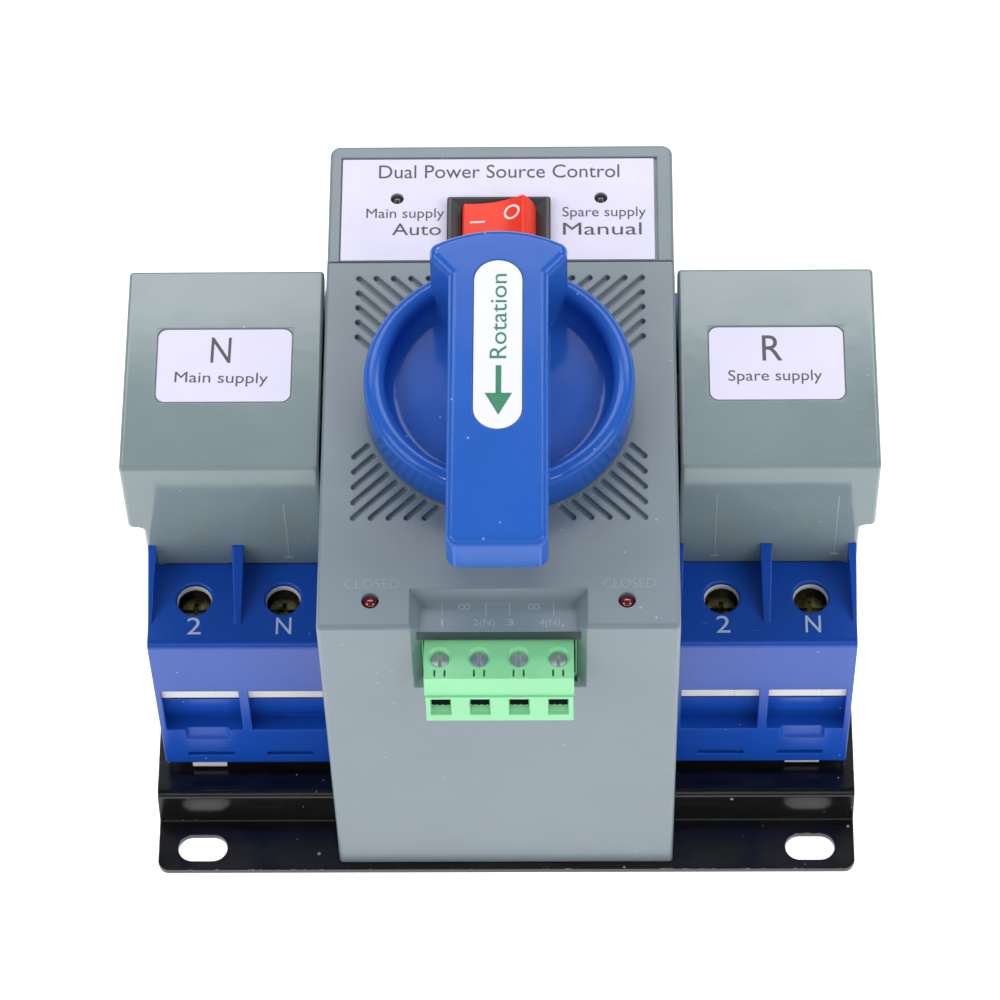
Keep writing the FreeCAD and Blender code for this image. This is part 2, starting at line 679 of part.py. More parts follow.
def shroud(label, side, turn):
    """Blue terminal shroud over one end of a breaker, drawn for the -Y end."""
    skin = body_named("Skin")
    front, wall, back = -s.shroud_front, s.shroud_wall, -s.shroud_back
    span = (-s.shroud_half, s.shroud_half)
    pad(skin, "YZ_Plane", span, lambda sketch: polygon(sketch, [
        (back, s.shroud_top), (front, s.shroud_top), (front, s.shroud_bottom),
        (front + wall, s.shroud_bottom), (front + wall, s.shroud_top - wall),
        (back, s.shroud_top - wall)]))
    soften(skin, "Fillet", s.shroud_edge,
           lambda box: long_in(box, "X") and flat(box, "Z", s.shroud_top) and flat(box, "Y", front))
    added, removed = [], []
    inside = s.shroud_half - 0.5
    for way in (-1, 1):
        side_span = (way * s.shroud_half, way * inside)
        added.append(block(side_span, (front + 0.4, back), (45.5, s.shroud_top - wall)))
        added.append(block(side_span, (front + 0.4, front + wall + s.tray_depth),
                           (s.shroud_bottom, 45.5)))
        edge_in = way * (s.shroud_half - s.window_edge)
        window_span = (way * s.mullion_half, edge_in)
        removed.append(block(window_span, (front - 1, front + wall + 0.1),
                             (s.window_low, s.window_high)))
        removed.append(block((way * 3.5, way * 13.1), (front - 1, front + wall + 1), (16.0, 17.5)))
        middle = way * s.pole_pitch / 2
        removed.append(rod("z", (middle, -s.screw_y), s.shroud_hole,
                           (s.shroud_top - 3, s.shroud_top + 1)))
        removed.append(cone((middle, -s.screw_y), (s.shroud_top - 0.35, s.shroud_hole),
                            (s.shroud_top + 0.35, s.shroud_hole + 0.7)))
        tray_span = (way * 0.6, way * (s.shroud_half - 0.3))
        added.append(block(tray_span, (front + 0.4, front + s.tray_depth + 1.0),
                           (s.window_low - 1.2, s.window_low)))
        added.append(block(tray_span, (front + s.tray_depth, front + s.tray_depth + 1.0),
                           (s.window_low - 0.5, s.tray_back_top)))
        added.append(taper((-s.barrier_foot, (way * (s.shroud_half - 0.75), way * s.shroud_half),
                            (s.shroud_top - 0.5, s.shroud_top + 0.05)),
                           (back, (way * (s.shroud_half - 1.6), way * s.shroud_half),
                            (s.shroud_top - 0.5, s.barrier_top))))
    added.append(block((-0.6, 0.6), (front + 0.4, front + s.tray_depth + 1.0),
                       (s.window_low - 1.2, s.tray_back_top)))
    added.append(block((-0.6, 0.6), (front + 0.4, front + wall), (s.tray_back_top, 45.0)))
    added.append(taper((-s.barrier_foot, (-0.65, 0.65), (s.shroud_top - 0.5, s.shroud_top + 0.05)),
                       (back, (-1.2, 1.2), (s.shroud_top - 0.5, s.barrier_top))))
    outer = -side if turn else side
    notch = taper((front - 1, (outer * 2.8, outer * 14.2), (21.8, s.window_low + 0.4)),
                  (front + 0.7, (outer * 4.6, outer * 12.4), (23.6, s.window_low + 0.4)))
    shape = without(joined(skin, *added), notch, *removed)
    return node(label, shape, x=side * s.breaker_x, y=s.breaker_y, turn=turn)


# ---- side covers --------------------------------------------------------------------------------

def side_cover(name, side):
    """Grey cover over a breaker's nose, overhanging its outer side."""
    body = body_named("Cover")
    near, far, wall = s.cover_near, s.cover_far, s.cover_wall

    def outline(sketch):
        polygon(sketch, [
            (side * s.cover_inner, s.cover_bottom), (side * s.cover_skirt, s.cover_bottom),
            (side * s.cover_skirt, s.cover_step), (side * s.cover_outer, s.cover_step),
            (side * s.cover_outer, s.cover_top), (side * s.cover_inner, s.cover_top)])

    def hollow(sketch):
        skirt = side * (s.cover_skirt - s.cover_skirt_wall)
        nose_gap = s.nose_top + 0.15
        polygon(sketch, [
            (side * (s.cover_inner - 1), 0), (skirt, 0), (skirt, s.cover_step + wall),
            (side * (s.cover_outer - wall), s.cover_step + wall),
            (side * (s.cover_outer - wall), s.cover_top - wall),
            (side * (s.cover_inner + wall), s.cover_top - wall),
            (side * (s.cover_inner + wall), nose_gap), (side * (s.cover_inner - 1), nose_gap)])

    middle = side * s.label_x
    centre_y = (near + far) / 2 + 0.7
    pad(body, "XZ_Plane", (near, far), outline)
    soften(body, "Fillet", 1.4, lambda box: flat(box, "Z", s.cover_step) and long_in(box, "Y", 20))
    soften(body, "Fillet", 0.9, lambda box: flat(box, "Z", s.cover_top) or (
        (flat(box, "Y", near) or flat(box, "Y", far)) and not flat(box, "Z", s.cover_bottom)))
    pocket(body, "XZ_Plane", (near + s.cover_end_wall, far - s.cover_end_wall), hollow)
    pocket(body, "XY_Plane", (s.cover_top - s.label_thick, s.cover_top + 1), lambda sketch: polygon(
        sketch, rectangle(middle, centre_y, s.label_width / 2 + 0.25, s.label_length / 2 + 0.25)))
    window = block((side * (s.cover_inner - 1), side * (s.cover_inner + wall + 1)),
                   (s.breaker_y - s.arm_window_half, s.breaker_y + s.arm_window_half),
                   (s.arm_window_low, s.arm_window_high))
    node(name + "_cover", without(body, window))
    label = body_named("Label")
    pad(label, "XY_Plane", (s.cover_top - s.label_thick, s.cover_top - 0.05), lambda sketch: polygon(
        sketch, rectangle(middle, centre_y, s.label_width / 2, s.label_length / 2)))
    soften(label, "Fillet", 1.8, lambda box: box.ZLength > 0.1 and box.XLength + box.YLength < 1e-3)
    node(name + "_label", label)


def rectangle(x, y, half_x, half_y):
    """The four corners of a rectangle about a middle."""
    return [(x - half_x, y - half_y), (x + half_x, y - half_y),
            (x + half_x, y + half_y), (x - half_x, y + half_y)]


# ---- centre case --------------------------------------------------------------------------------

def case_body():
    """The case as a hollow moulding, open below, stepped over the plate and behind the panel."""
    body = body_named("Case")
    end, far, wall, foot = s.case_end, s.case_far, s.case_wall, s.case_foot
    step_y, step_z = s.rise_half + s.rise_slope + 0.6, s.plate_rise + 0.15

    def outline(sketch):
        polygon(sketch, [
            (-end, foot), (-step_y, foot), (-step_y, step_z), (step_y, step_z), (step_y, foot),
            (far, foot), (far, s.case_split_z), (s.case_split_y, s.case_split_z),
            (s.case_split_y, s.case_top), (-end, s.case_top)])

    def hollow(sketch):
        polygon(sketch, [
            (-end + wall, 0), (far - wall, 0), (far - wall, s.case_split_z - wall),
            (s.case_split_y - wall, s.case_split_z - wall),
            (s.case_split_y - wall, s.case_top - wall), (-end + wall, s.case_top - wall)])

    pad(body, "YZ_Plane", (-s.case_half, s.case_half), outline)
    soften(body, "Fillet", 2.2, lambda box: long_in(box, "Z", 30) and flat(box, "Y", far))
    soften(body, "Fillet", 0.9, lambda box: (
        (long_in(box, "Z", 30) and flat(box, "Y", -end))
        or (flat(box, "Z", s.case_top) and not flat(box, "Y", s.case_split_y))))
    pocket(body, "YZ_Plane", (-s.case_half + wall, s.case_half - wall), hollow)
    for way_x in (-1, 1):
        for way_y in (-1, 1):
            pocket(body, "XY_Plane", (s.case_top - s.vent_depth, s.case_top + 1),
                   lambda sketch: vents(sketch, way_x, way_y))
    return body


def vents(sketch, way_x, way_y):
    """Nine diagonal grooves of one corner, ending on a circle round the handle."""
    starts = [(s.vent_half_x - step * s.vent_pitch, s.vent_half_y) for step in range(5)]
    starts += [(s.vent_half_x, s.vent_half_y - step * s.vent_pitch) for step in range(1, 5)]
    for x, y in starts:
        apart = x - y
        reach = root_of(2 * s.vent_inner * s.vent_inner - apart * apart)
        end_x, end_y = (reach + apart) / 2, (reach - apart) / 2
        obround(sketch, (way_x * x, s.vent_y + way_y * y),
                (way_x * end_x, s.vent_y + way_y * end_y), s.vent_radius)


def centre_case():
    """The case with its posts and shaft boss, and the openings in its walls."""
    wall = s.case_wall
    under = s.case_top - wall
    posts = [rod("z", place, 3.6, (s.plate_rise + 0.15, 34.0)) for place in base_screw_places()[:4]]
    ribs = [block((place[0], (1 if place[0] > 0 else -1) * (s.case_half - 1)),
                  (place[1] - 0.8, place[1] + 0.8), (s.plate_rise + 0.15, 34.0))
            for place in base_screw_places()[:4]]
    boss = rod("z", (0, s.axis_y), 7.0, (94.8, under + 0.5))
    bearing = rod("z", (0, s.axis_y), s.shaft_radius + s.bearing_gap, (90, 105))
    pilots = [rod("z", place, 1.5, (5, 22)) for place in base_screw_places()[:4]]
    front = s.case_end
    recess = taper((-front - 1, (-s.pocket_half - 0.7, s.pocket_half + 0.7),
                    (s.pocket_low - 0.7, s.case_top + 5)),
                   (-s.pocket_back, (-s.pocket_inner, s.pocket_inner),
                    (s.pocket_inner_low, s.case_top + 5)))
    backing = block((-s.pocket_inner - 2, s.pocket_inner + 2), (-s.case_end + 0.5, -46.0),
                    (s.pocket_low - 1, s.case_top - 0.5))
    shelf = shelf_cutter()
    socket = block((-s.pocket_inner, s.pocket_inner), (-s.pocket_back - 1, -45), (78.4, 95.2))
    lamps = [rod("z", (way * s.closed_lamp_x, s.closed_lamp_y), s.closed_lamp_radius + 0.1, (95, 105))
             for way in (-1, 1)]
    windows = [block((way * (s.case_half - wall - 1), way * (s.case_half + 1)),
                     (s.breaker_y - s.arm_window_half, s.breaker_y + s.arm_window_half),
                     (s.arm_window_low, s.arm_window_high)) for way in (-1, 1)]
    loom = rod("z", (0, 44.0), 6.0, (s.case_split_z - wall - 1, s.case_split_z + 1))
    solid = joined(case_body(), boss, backing, *posts, *ribs)
    shell = without(solid, bearing, recess, shelf, socket, loom, *pilots, *lamps, *windows)
    lip = block((-s.pocket_inner - 0.8, s.pocket_inner + 0.8), (-s.lip_front, -s.pocket_back + 0.5),
                (s.plug_top + 0.9, s.shelf_z))
    return node("centre_case", joined(shell, lip))


def shelf_cutter():
    """The sloped step from the top face down to the shelf behind the control plug."""
    body = body_named("Shelf")
    sketch_top = sketch_on(body, "XY_Plane", s.case_top + 0.05)
    polygon(sketch_top, [(-s.pocket_half, -s.case_end - 2), (s.pocket_half, -s.case_end - 2),
                         (s.pocket_half, -s.pocket_far), (-s.pocket_half, -s.pocket_far)])
    sketch_low = sketch_on(body, "XY_Plane", s.shelf_z)
    polygon(sketch_low, [(-s.pocket_inner, -s.case_end - 2), (s.pocket_inner, -s.case_end - 2),
                         (s.pocket_inner, -s.shelf_far), (-s.pocket_inner, -s.shelf_far)])
    loft = body.newObject("PartDesign::AdditiveLoft", fresh("Loft"))
    loft.Profile = sketch_low
    loft.Sections = [sketch_top]
    return body


def panel_cover():
    """Separate upper housing behind the handle, open below, with a sunk label field."""
    body = body_named("Panel")
    near, far, wall = s.case_split_y + s.panel_gap, s.case_far, s.panel_wall
    low, top = s.case_split_z + s.panel_gap, s.case_top
    pad(body, "XY_Plane", (low, top), lambda sketch: polygon(
        sketch, rectangle(0, (near + far) / 2, s.panel_half, (far - near) / 2)))
    soften(body, "Fillet", 2.2, lambda box: long_in(box, "Z", 10) and flat(box, "Y", far))
    soften(body, "Fillet", 0.9, lambda box: flat(box, "Z", top) and not flat(box, "Y", near))
    pocket(body, "XY_Plane", (low - 1, top - wall), lambda sketch: polygon(
        sketch, rectangle(0, (near + far) / 2, s.panel_half - wall, (far - near) / 2 - wall)))
    middle = (s.panel_label_near + s.panel_label_far) / 2
    reach = (s.panel_label_far - s.panel_label_near) / 2
    pocket(body, "XY_Plane", (top - s.label_sink, top + 1), lambda sketch: polygon(
        sketch, rectangle(s.panel_label_x + 0.2, middle, s.panel_label_half + 0.5, reach + 0.35)))
    pocket(body, "XY_Plane", (top - wall - 1, top + 1), panel_holes)
    pocket(body, "XY_Plane", (s.bezel_low - 0.4, top), lambda sketch: polygon(
        sketch, rectangle(s.panel_x, s.rocker_y, 9.7, 6.6)))
    return node("panel_cover", body)


def panel_holes(sketch):
    """The rocker switch's cut-out and the two supply lamps' holes."""
    polygon(sketch, rectangle(s.panel_x, s.rocker_y, 9.7, 6.6))
    for way in (-1, 1):
        circle(sketch, s.panel_x + way * s.lamp_x, s.lamp_y, s.lamp_radius + 0.1)


def panel_label():
    """Printed plastic plate in the sunk field."""
    body = body_named("Plate")
    middle = (s.panel_label_near + s.panel_label_far) / 2
    reach = (s.panel_label_far - s.panel_label_near) / 2
    low = s.case_top - s.label_sink
    pad(body, "XY_Plane", (low, low + 0.4), lambda sketch: polygon(
        sketch, rectangle(s.panel_label_x, middle, s.panel_label_half, reach)))
    pocket(body, "XY_Plane", (low - 1, low + 1), panel_holes)
    return node("panel_label", body)


# ---- chassis and drive --------------------------------------------------------------------------

def chassis():
    """Bent steel frame that carries the motor, the handle shaft and the slides' guides."""
    half, low, high = s.deck_half, s.deck_low, s.deck_high
    thick = high - low
    deck = block((-half, half), (-38, 24), (low, high))
    sides = [block((way * half, way * (half - thick)), (-30, 18), (s.plate_rise, low)) for way in (-1, 1)]
    feet = [block((way * half, way * 20), (-30, 18), (s.plate_rise, s.plate_rise + thick))
            for way in (-1, 1)]
    guides = [block((way * 13, way * 19), (-8, 17), (high, s.rack_low - 0.3)) for way in (-1, 1)]
    bearing = rod("z", (0, s.axis_y), s.shaft_radius + s.bearing_gap, (low - 1, high + 1))
    opening = rod("z", (0, motor_y()), 3.0, (low - 1, high + 1))
    pilots = [rod("z", place, 1.5, (9, 12)) for place in base_screw_places()[4:]]
    frame = joined(deck, *sides, *feet, *guides)
    return node("chassis", without(frame, bearing, opening, *pilots))


def motor_y():
    """The motor's axis lies behind the shaft at the gear pair's centre distance."""
    return s.axis_y + s.gear_module * (s.gear_teeth + s.motor_teeth) / 2


def motor():
    """Gear motor hung under the chassis deck."""
    y = motor_y()
    can = rod("z", (0, y), s.motor_radius, (s.motor_low, s.motor_high))
    cap = rod("z", (0, y), 4.0, (s.motor_low - 2.4, s.motor_low))
    tags = [block((way * 5, way * 7.4), (y - 0.3, y + 0.3), (s.motor_low - 6, s.motor_low))
            for way in (-1, 1)]
    socket = rod("z", (0, y), s.spindle_radius + s.bearing_gap, (s.motor_high - 9, s.motor_high + 1))
    return node("motor", without(joined(can, cap, *tags), socket))


def toothed(body, ends, count, pitch_radius, addendum, dedendum, thickness, first):
    """Pad a toothed wheel: a root disc, one trapezoid tooth and a polar pattern of it."""
    root = pitch_radius - dedendum
    tip = pitch_radius + addendum
    pad(body, "XY_Plane", ends, lambda sketch: circle(sketch, 0, 0, root))
    slope = math.tan(math.radians(20))

    def tooth(sketch):
        wide = thickness / 2 + dedendum * slope
        narrow = thickness / 2 - addendum * slope
        turn = math.radians(first)
        along, across = (math.cos(turn), math.sin(turn)), (-math.sin(turn), math.cos(turn))
        corners = [(root - 0.3, wide), (root - 0.3, -wide), (tip, -narrow), (tip, narrow)]
        polygon(sketch, [(along[0] * out + across[0] * over, along[1] * out + across[1] * over)
                         for out, over in corners])

    single = pad(body, "XY_Plane", ends, tooth)
    pattern = body.newObject("PartDesign::PolarPattern", fresh("Polar"))
    pattern.Originals = [single]
    axis = next(part for part in body.Origin.OriginFeatures if part.Role == "Z_Axis")
    pattern.Axis = (axis, [""])
    bind(pattern, "Occurrences", count)
    body.Tip = pattern


def drive_gear():
    """Large gear fixed on the handle's shaft."""
    body = body_named("Gear")
    ends = (s.gear_low, s.gear_high)
    radius = s.gear_module * s.gear_teeth / 2
    toothed(body, ends, s.gear_teeth, radius, 0.8 * s.gear_module, 1.2 * s.gear_module, 1.05, 90)
    pocket(body, "XY_Plane", (s.gear_low - 1, s.gear_high + 1),
           lambda sketch: circle(sketch, 0, 0, s.shaft_radius))
    return node("drive_gear", body, y=s.axis_y)


def motor_pinion():
    """Small gear with its spindle, driven by the motor."""
    body = body_named("Pinion")
    ends = (s.gear_low - 0.4, s.gear_high + 0.4)
    radius = s.gear_module * s.motor_teeth / 2
    toothed(body, ends, s.motor_teeth, radius, 0.7 * s.gear_module, 1.2 * s.gear_module, 0.95, 108)
    body_top = s.gear_high + 0.4
    pad(body, "XY_Plane", (s.motor_high - 7.5, body_top),
        lambda sketch: circle(sketch, 0, 0, s.spindle_radius))
    return node("motor_pinion", body, y=motor_y())


def drive_shaft():
    """Handle shaft with the rack pinion cut on it and a square drive at the top."""
    body = body_named("Shaft")
    radius = s.rack_pitch * s.pinion_teeth / (2 * math.pi)
    toothed(body, (s.rack_low - 0.2, s.rack_high + 0.2), s.pinion_teeth, radius, 0.45, 0.75, 0.8, 0)
    pad(body, "XY_Plane", (s.shaft_low, s.case_top + 2.4), lambda sketch: circle(
        sketch, 0, 0, s.shaft_radius))
    return node("drive_shaft", body, y=s.axis_y)


def slide(name, side):
    """Rack and forked arm that carries the handle's turn to one breaker's tie bar."""
    radius = s.rack_pitch * s.pinion_teeth / (2 * math.pi)
    low, high = s.rack_low, s.rack_high
    root = radius + 0.75
    body = body_named("Rack")
    pad(body, "XY_Plane", (low, high), lambda sketch: polygon(sketch, rectangle(
        side * (root + 1.7), s.axis_y, 1.7, 11.8)))
    slope = math.tan(math.radians(20))
    count = 12
    first = s.axis_y - s.rack_pitch * (count - 1) / 2

    def tooth(sketch):
        wide = 0.4 + 0.75 * slope
        narrow = 0.4 - 0.45 * slope
        polygon(sketch, [(side * (root + 0.3), first - wide), (side * (root + 0.3), first + wide),
                         (side * (radius - 0.45), first + narrow),
                         (side * (radius - 0.45), first - narrow)])

    single = pad(body, "XY_Plane", (low, high), tooth)
    pattern = body.newObject("PartDesign::LinearPattern", fresh("Row"))
    pattern.Originals = [single]
    axis = next(part for part in body.Origin.OriginFeatures if part.Role == "Y_Axis")
    pattern.Direction = (axis, [""])
    bind(pattern, "Length", s.rack_pitch * (count - 1))
    pattern.Occurrences = count
    body.Tip = pattern
    y = s.breaker_y
    arm = block((side * (root + 2.0), side * s.arm_end), (y - s.arm_half, y + s.arm_half), (low, high))
    wide_gap = block((side * 38.6, side * 49.4), (y - 3.5, y + 3.5), (low - 1, high + 1))
    fork_gap = block((side * 49.3, side * (s.arm_end + 1)), (y - 1.95, y + 1.95), (low - 1, high + 1))
    return node(name, without(joined(body, arm), wide_gap, fork_gap))


# ---- handle -------------------------------------------------------------------------------------

def handle():
    """Blue rotary handle: a dished disc crossed by a long grip."""
    top = s.case_top
    outer, inner = s.disc_radius, s.disc_radius - s.rim_width
    low, rim, dish = top + s.disc_gap, top + s.rim_height, top + s.dish_height

    body = body_named("Handle")
    pad(body, "XY_Plane", (low, rim), lambda sketch: circle(sketch, 0, 0, outer))
    pocket(body, "XY_Plane", (dish, rim + 1), lambda sketch: circle(sketch, 0, 0, inner))
    soften(body, "Fillet", s.rim_width / 2 - 0.05, lambda box: flat(box, "Z", rim))
    soften(body, "Fillet", 2.4, lambda box: flat(box, "Z", dish))
    pocket(body, "XY_Plane", (low - 1, top + 2.4), lambda sketch: circle(
        sketch, 0, 0, s.shaft_radius))

    grip = body_named("Grip")
    head_y = root_of(s.head_far * s.head_far - s.head_half * s.head_half)
    half, reach = s.bar_half, s.bar_reach

    def outline(sketch):
        polygon(sketch, [
            (-half, -reach), (half, -reach), (half, s.flare_start), (s.head_half, s.flare_end),
            (s.head_half, head_y, s.head_far), (-s.head_half, head_y), (-s.head_half, s.flare_end),
            (-half, s.flare_start)])

    pad(grip, "XY_Plane", (top + s.dish_height - 0.6, top + s.bar_top), outline)
    pocket(grip, "XY_Plane", (top, top + s.bar_low), lambda sketch: polygon(
        sketch, rectangle(0, -outer + 2.6 - 20, 30, 20)))
    soften(grip, "Fillet", 2.6, lambda box: long_in(box, "Z", 5) and flat(box, "Y", -reach))
    soften(grip, "Fillet", 2.0, lambda box: long_in(box, "Z", 5) and flat(box, "Y", head_y))
    soften(grip, "Fillet", 1.7, lambda box: flat(box, "Z", top + s.bar_top))
    pocket(grip, "XY_Plane", (top + s.bar_top - s.tag_sink, top + 30), lambda sketch: obround(
        sketch, (0, s.tag_near + s.tag_half), (0, s.tag_far - s.tag_half), s.tag_half))
    soften(grip, "Fillet", 1.0, lambda box: flat(box, "Z", top + s.bar_low))
    return node("handle", joined(body, grip), y=s.axis_y)


def handle_label():
    """White tag with round ends let into the grip."""
    body = body_named("Tag")
    low = s.case_top + s.bar_top - s.tag_sink
    half = s.tag_half - 0.15
    pad(body, "XY_Plane", (low, low + 0.25), lambda sketch: obround(
        sketch, (0, s.tag_near + s.tag_half), (0, s.tag_far - s.tag_half), half))
    return node("handle_label", body, y=s.axis_y)


# ---- rocker switch, lamps and board -------------------------------------------------------------

def rocker_bezel():
    """Snap-in rocker switch housing with a sloping frame."""
    low = s.case_top - s.label_sink + 0.4
    x, y = s.panel_x, s.rocker_y
    body = body_named("Bezel")
    pad(body, "XY_Plane", (low, low + s.bezel_height), lambda sketch: polygon(
        sketch, rectangle(x, y, s.bezel_half_x, s.bezel_half_y)))
    soften(body, "Fillet", 0.5, lambda box: flat(box, "Z", low + s.bezel_height) or long_in(box, "Z"))
    pad(body, "XY_Plane", (s.bezel_low, low), lambda sketch: polygon(
        sketch, rectangle(x, y, 9.6, 6.5)))
    pocket(body, "XY_Plane", (s.bezel_low + s.bezel_floor, low + 5), lambda sketch: polygon(
        sketch, rectangle(x, y, 7.55, 5.25)))
    funnel = funnel_cutter(x, y, low + s.bezel_height)
    hole = rod("y", (x, s.rocker_z), 1.05, (y - 6.0, y + 6.0))
    return node("rocker_bezel", without(body, funnel, hole, *blade_pair()))


def funnel_cutter(x, y, top):
    """The slope from the frame's outer edge down to the paddle."""
    body = body_named("Funnel")
    upper = sketch_on(body, "XY_Plane", top + 0.1)
    polygon(upper, rectangle(x, y, s.bezel_half_x - 0.6, s.bezel_half_y - 0.5))
    lower = sketch_on(body, "XY_Plane", top - 1.1)
    polygon(lower, rectangle(x, y, 7.55, 5.25))
    loft = body.newObject("PartDesign::AdditiveLoft", fresh("Loft"))
    loft.Profile = lower
    loft.Sections = [upper]
    return body


def rocker_button():
    """Red paddle, resting with its left end pressed."""
    body = body_named("Paddle")
    tip_x, tip_z, foot_x, foot_z = 6.19, 3.93, 6.96, -3.0
    tilt = math.radians(-s.rocker_tilt.value)

    def outline(sketch):
        corners = [(-foot_x, foot_z), (foot_x, foot_z), (tip_x, tip_z), (-tip_x, tip_z)]
        turned = [(x * math.cos(tilt) + z * math.sin(tilt), -x * math.sin(tilt) + z * math.cos(tilt))
                  for x, z in corners]
        arcs = (None, 7.6, -18.3, 7.6)
        polygon(sketch, [point if arc is None else point + (arc,) for point, arc in zip(turned, arcs)])

    y = s.paddle_half_y
    pad(body, "XZ_Plane", (-y, y), outline)
    soften(body, "Fillet", 0.35, lambda box: box.ZMax > 1.6)
    pin = rod("y", (0, 0), 1.0, (-5.9, 5.9))
    return node("rocker_button", joined(body, pin), x=s.panel_x, y=s.rocker_y, z=s.rocker_z)


def blade_pair():
    """The two solder blades, through the rocker housing's floor."""
    y = s.rocker_y
    return [block((x - 2.3, x + 2.3), (y - 0.4, y + 0.4), (s.bezel_low - 2.4, s.bezel_low + s.bezel_floor))
            for x in (s.panel_x - 5.0, s.panel_x + 0.6)]


def rocker_blades():
    return node("rocker_blades", group(blade_pair()))


def lamp(x, y, top, radius, reach):
    """A lamp with its domed lens, collar and two leads."""
    base = top - 3.4
    lens = rod("z", (x, y), radius, (base, top - radius))
    dome = doc.addObject("Part::Sphere", fresh("Dome"))
    for axis, place in (("x", x), ("y", y), ("z", top - radius)):
        bind(dome, f"Placement.Base.{axis}", place)
    bind(dome, "Radius", radius)
    collar = rod("z", (x, y), radius + 0.35, (base - 0.8, base))
    leads = [rod("z", (x + shift, y), 0.28, (base - reach, base - 0.5)) for shift in (-0.8, 0.8)]
    return joined(lens, dome, collar, *leads)


def lamps():
    top = s.case_top - 0.5
    supply = [lamp(s.panel_x + way * s.lamp_x, s.lamp_y, top, s.lamp_radius, 11.5) for way in (-1, 1)]
    node("supply_lamps", group(supply))
    closed = [lamp(way * s.closed_lamp_x, s.closed_lamp_y, s.case_top - 0.15, s.closed_lamp_radius, 12.0)
              for way in (-1, 1)]
    node("closed_lamps", group(closed))


def control_board():
    """Circuit board under the panel, with its relays below it."""
    board = block((-30.5, 30.5), (31.0, 53.6), (82.2, 83.8))
    holes = [rod("z", (s.panel_x + way * s.lamp_x + shift, s.lamp_y), 0.45, (80, 85))
             for way in (-1, 1) for shift in (-0.8, 0.8)]
    notch = block((-10, 10), (32.6, 39.2), (80, 86))
    node("control_board", without(board, notch, *holes))
    relays = [block((x - 7.6, x + 7.6), (41.0, 51.4), (66.6, 82.2)) for x in (-19.0, 19.0)]
    relays.append(block((-6.0, 6.0), (41.4, 52.0), (69.0, 82.2)))
    node("board_relays", group(relays))


def limit_switches():
    """Two snap-action switches that the racks' near ends reach."""
    switches = []
    for way in (-1, 1):
        case_block = block((way * 5.4, way * 11.2), (-37.4, -26.6), (s.deck_high, 86.4))
        plunger = rod("y", (way * 8.3, 84.2), 0.8, (-26.6, -25.4))
        legs = block((way * 6.0, way * 10.6), (-42.6, -37.4), (80.0, 81.0))
        tails = [block((way * 7.4, way * 9.2), (y, y - 0.6), (71.0, 80.0)) for y in (-39.2, -41.4)]
        switches.append(joined(case_block, plunger, legs, *tails))
    return node("limit_switches", group(switches))


# ---- control terminal ---------------------------------------------------------------------------

def plug_places():
    """The four ways of the control plug."""
    return [(index - 1.5) * s.plug_pitch for index in range(4)]


def terminal_header():
    """Fixed half of the control terminal, let into the recess."""
    outer = block((-15.0, 15.0), (-s.pocket_back, -44.6), (78.6, 95.1))
    inner = block((-14.8, 14.8), (-s.pocket_back - 1, -46.6), (80.2, 94.7))
    body = without(outer, inner)
    pins = [block((x - 0.5, x + 0.5), (-50, -40), (86.7, 87.7)) for x in plug_places()]
    node("terminal_header", without(body, *pins))
    legs = []
    for x in plug_places():
        along = block((x - 0.5, x + 0.5), (-52.6, -41.0), (86.7, 87.7))
        down = block((x - 0.5, x + 0.5), (-42.0, -41.0), (80.0, 87.7))
        legs.append(joined(along, down))
    node("header_pins", group(legs))


def terminal_plug():
    """Pull-out half with screw wells on top and wire entries in front."""
    front, mid, rear = -s.plug_front, -s.plug_mid, -s.plug_rear
    half, top, low = s.plug_half, s.plug_top, s.plug_low
    upper = block((-half, half), (front, mid), (87.4, top))
    lower = block((-half + 0.15, half - 0.15), (front - 0.35, -s.case_end - 0.2), (low, 87.4))
    tongue = block((-half, half), (-s.case_end - 0.2, rear), (80.6, top))
    body = joined(upper, lower, tongue)
    cuts = []
    for x in plug_places():
        cuts.append(rod("z", (x, -s.plug_screw_y), s.plug_screw_radius, (85.2, top + 1)))
        cuts.append(cone((x, -s.plug_screw_y), (top - 0.5, s.plug_screw_radius),
                         (top + 0.2, s.plug_screw_radius + 0.7)))
        cuts.append(block((x - 2.1, x + 2.1), (front + 0.6, front + 6.6), (80.2, 86.6)))
        cuts.append(taper((front - 1.0, (x - 2.2, x + 2.2), (80.0, 86.8)),
                          (front + 1.0, (x - 1.7, x + 1.7), (80.9, 86.3))))
        cuts.append(block((x - 0.85, x + 0.85), (-57.5, rear + 1), (86.2, 88.2)))
        for side in (-1, 1):
            cuts.append(block((x + side * 0.8, x + side * 1.15), (-62.9, -61.4), (top - 1.2, top + 1)))
    return node("terminal_plug", without(body, *cuts))


def plug_fittings():
    """The plug's screws and wire clamps."""
    screws, clamps = [], []
    y = -s.plug_screw_y
    for x in plug_places():
        head = without(rod("z", (x, y), s.plug_screw_radius - 0.12, (91.6, 93.3)),
                       block((x - 0.3, x + 0.3), (y - 2, y + 2), (92.5, 94)))
        screws.append(joined(head, rod("z", (x, y), 1.2, (86.9, 91.6))))
        cage = without(block((x - 1.9, x + 1.9), (y - 1.6, y + 1.8), (80.5, 86.4)),
                       block((x - 1.45, x + 1.45), (y - 3, y + 3), (81.1, 85.2)))
        clamps.append(cage)
    node("plug_screws", group(screws))
    node("plug_clamps", group(clamps))


# ---- the whole device ---------------------------------------------------------------------------

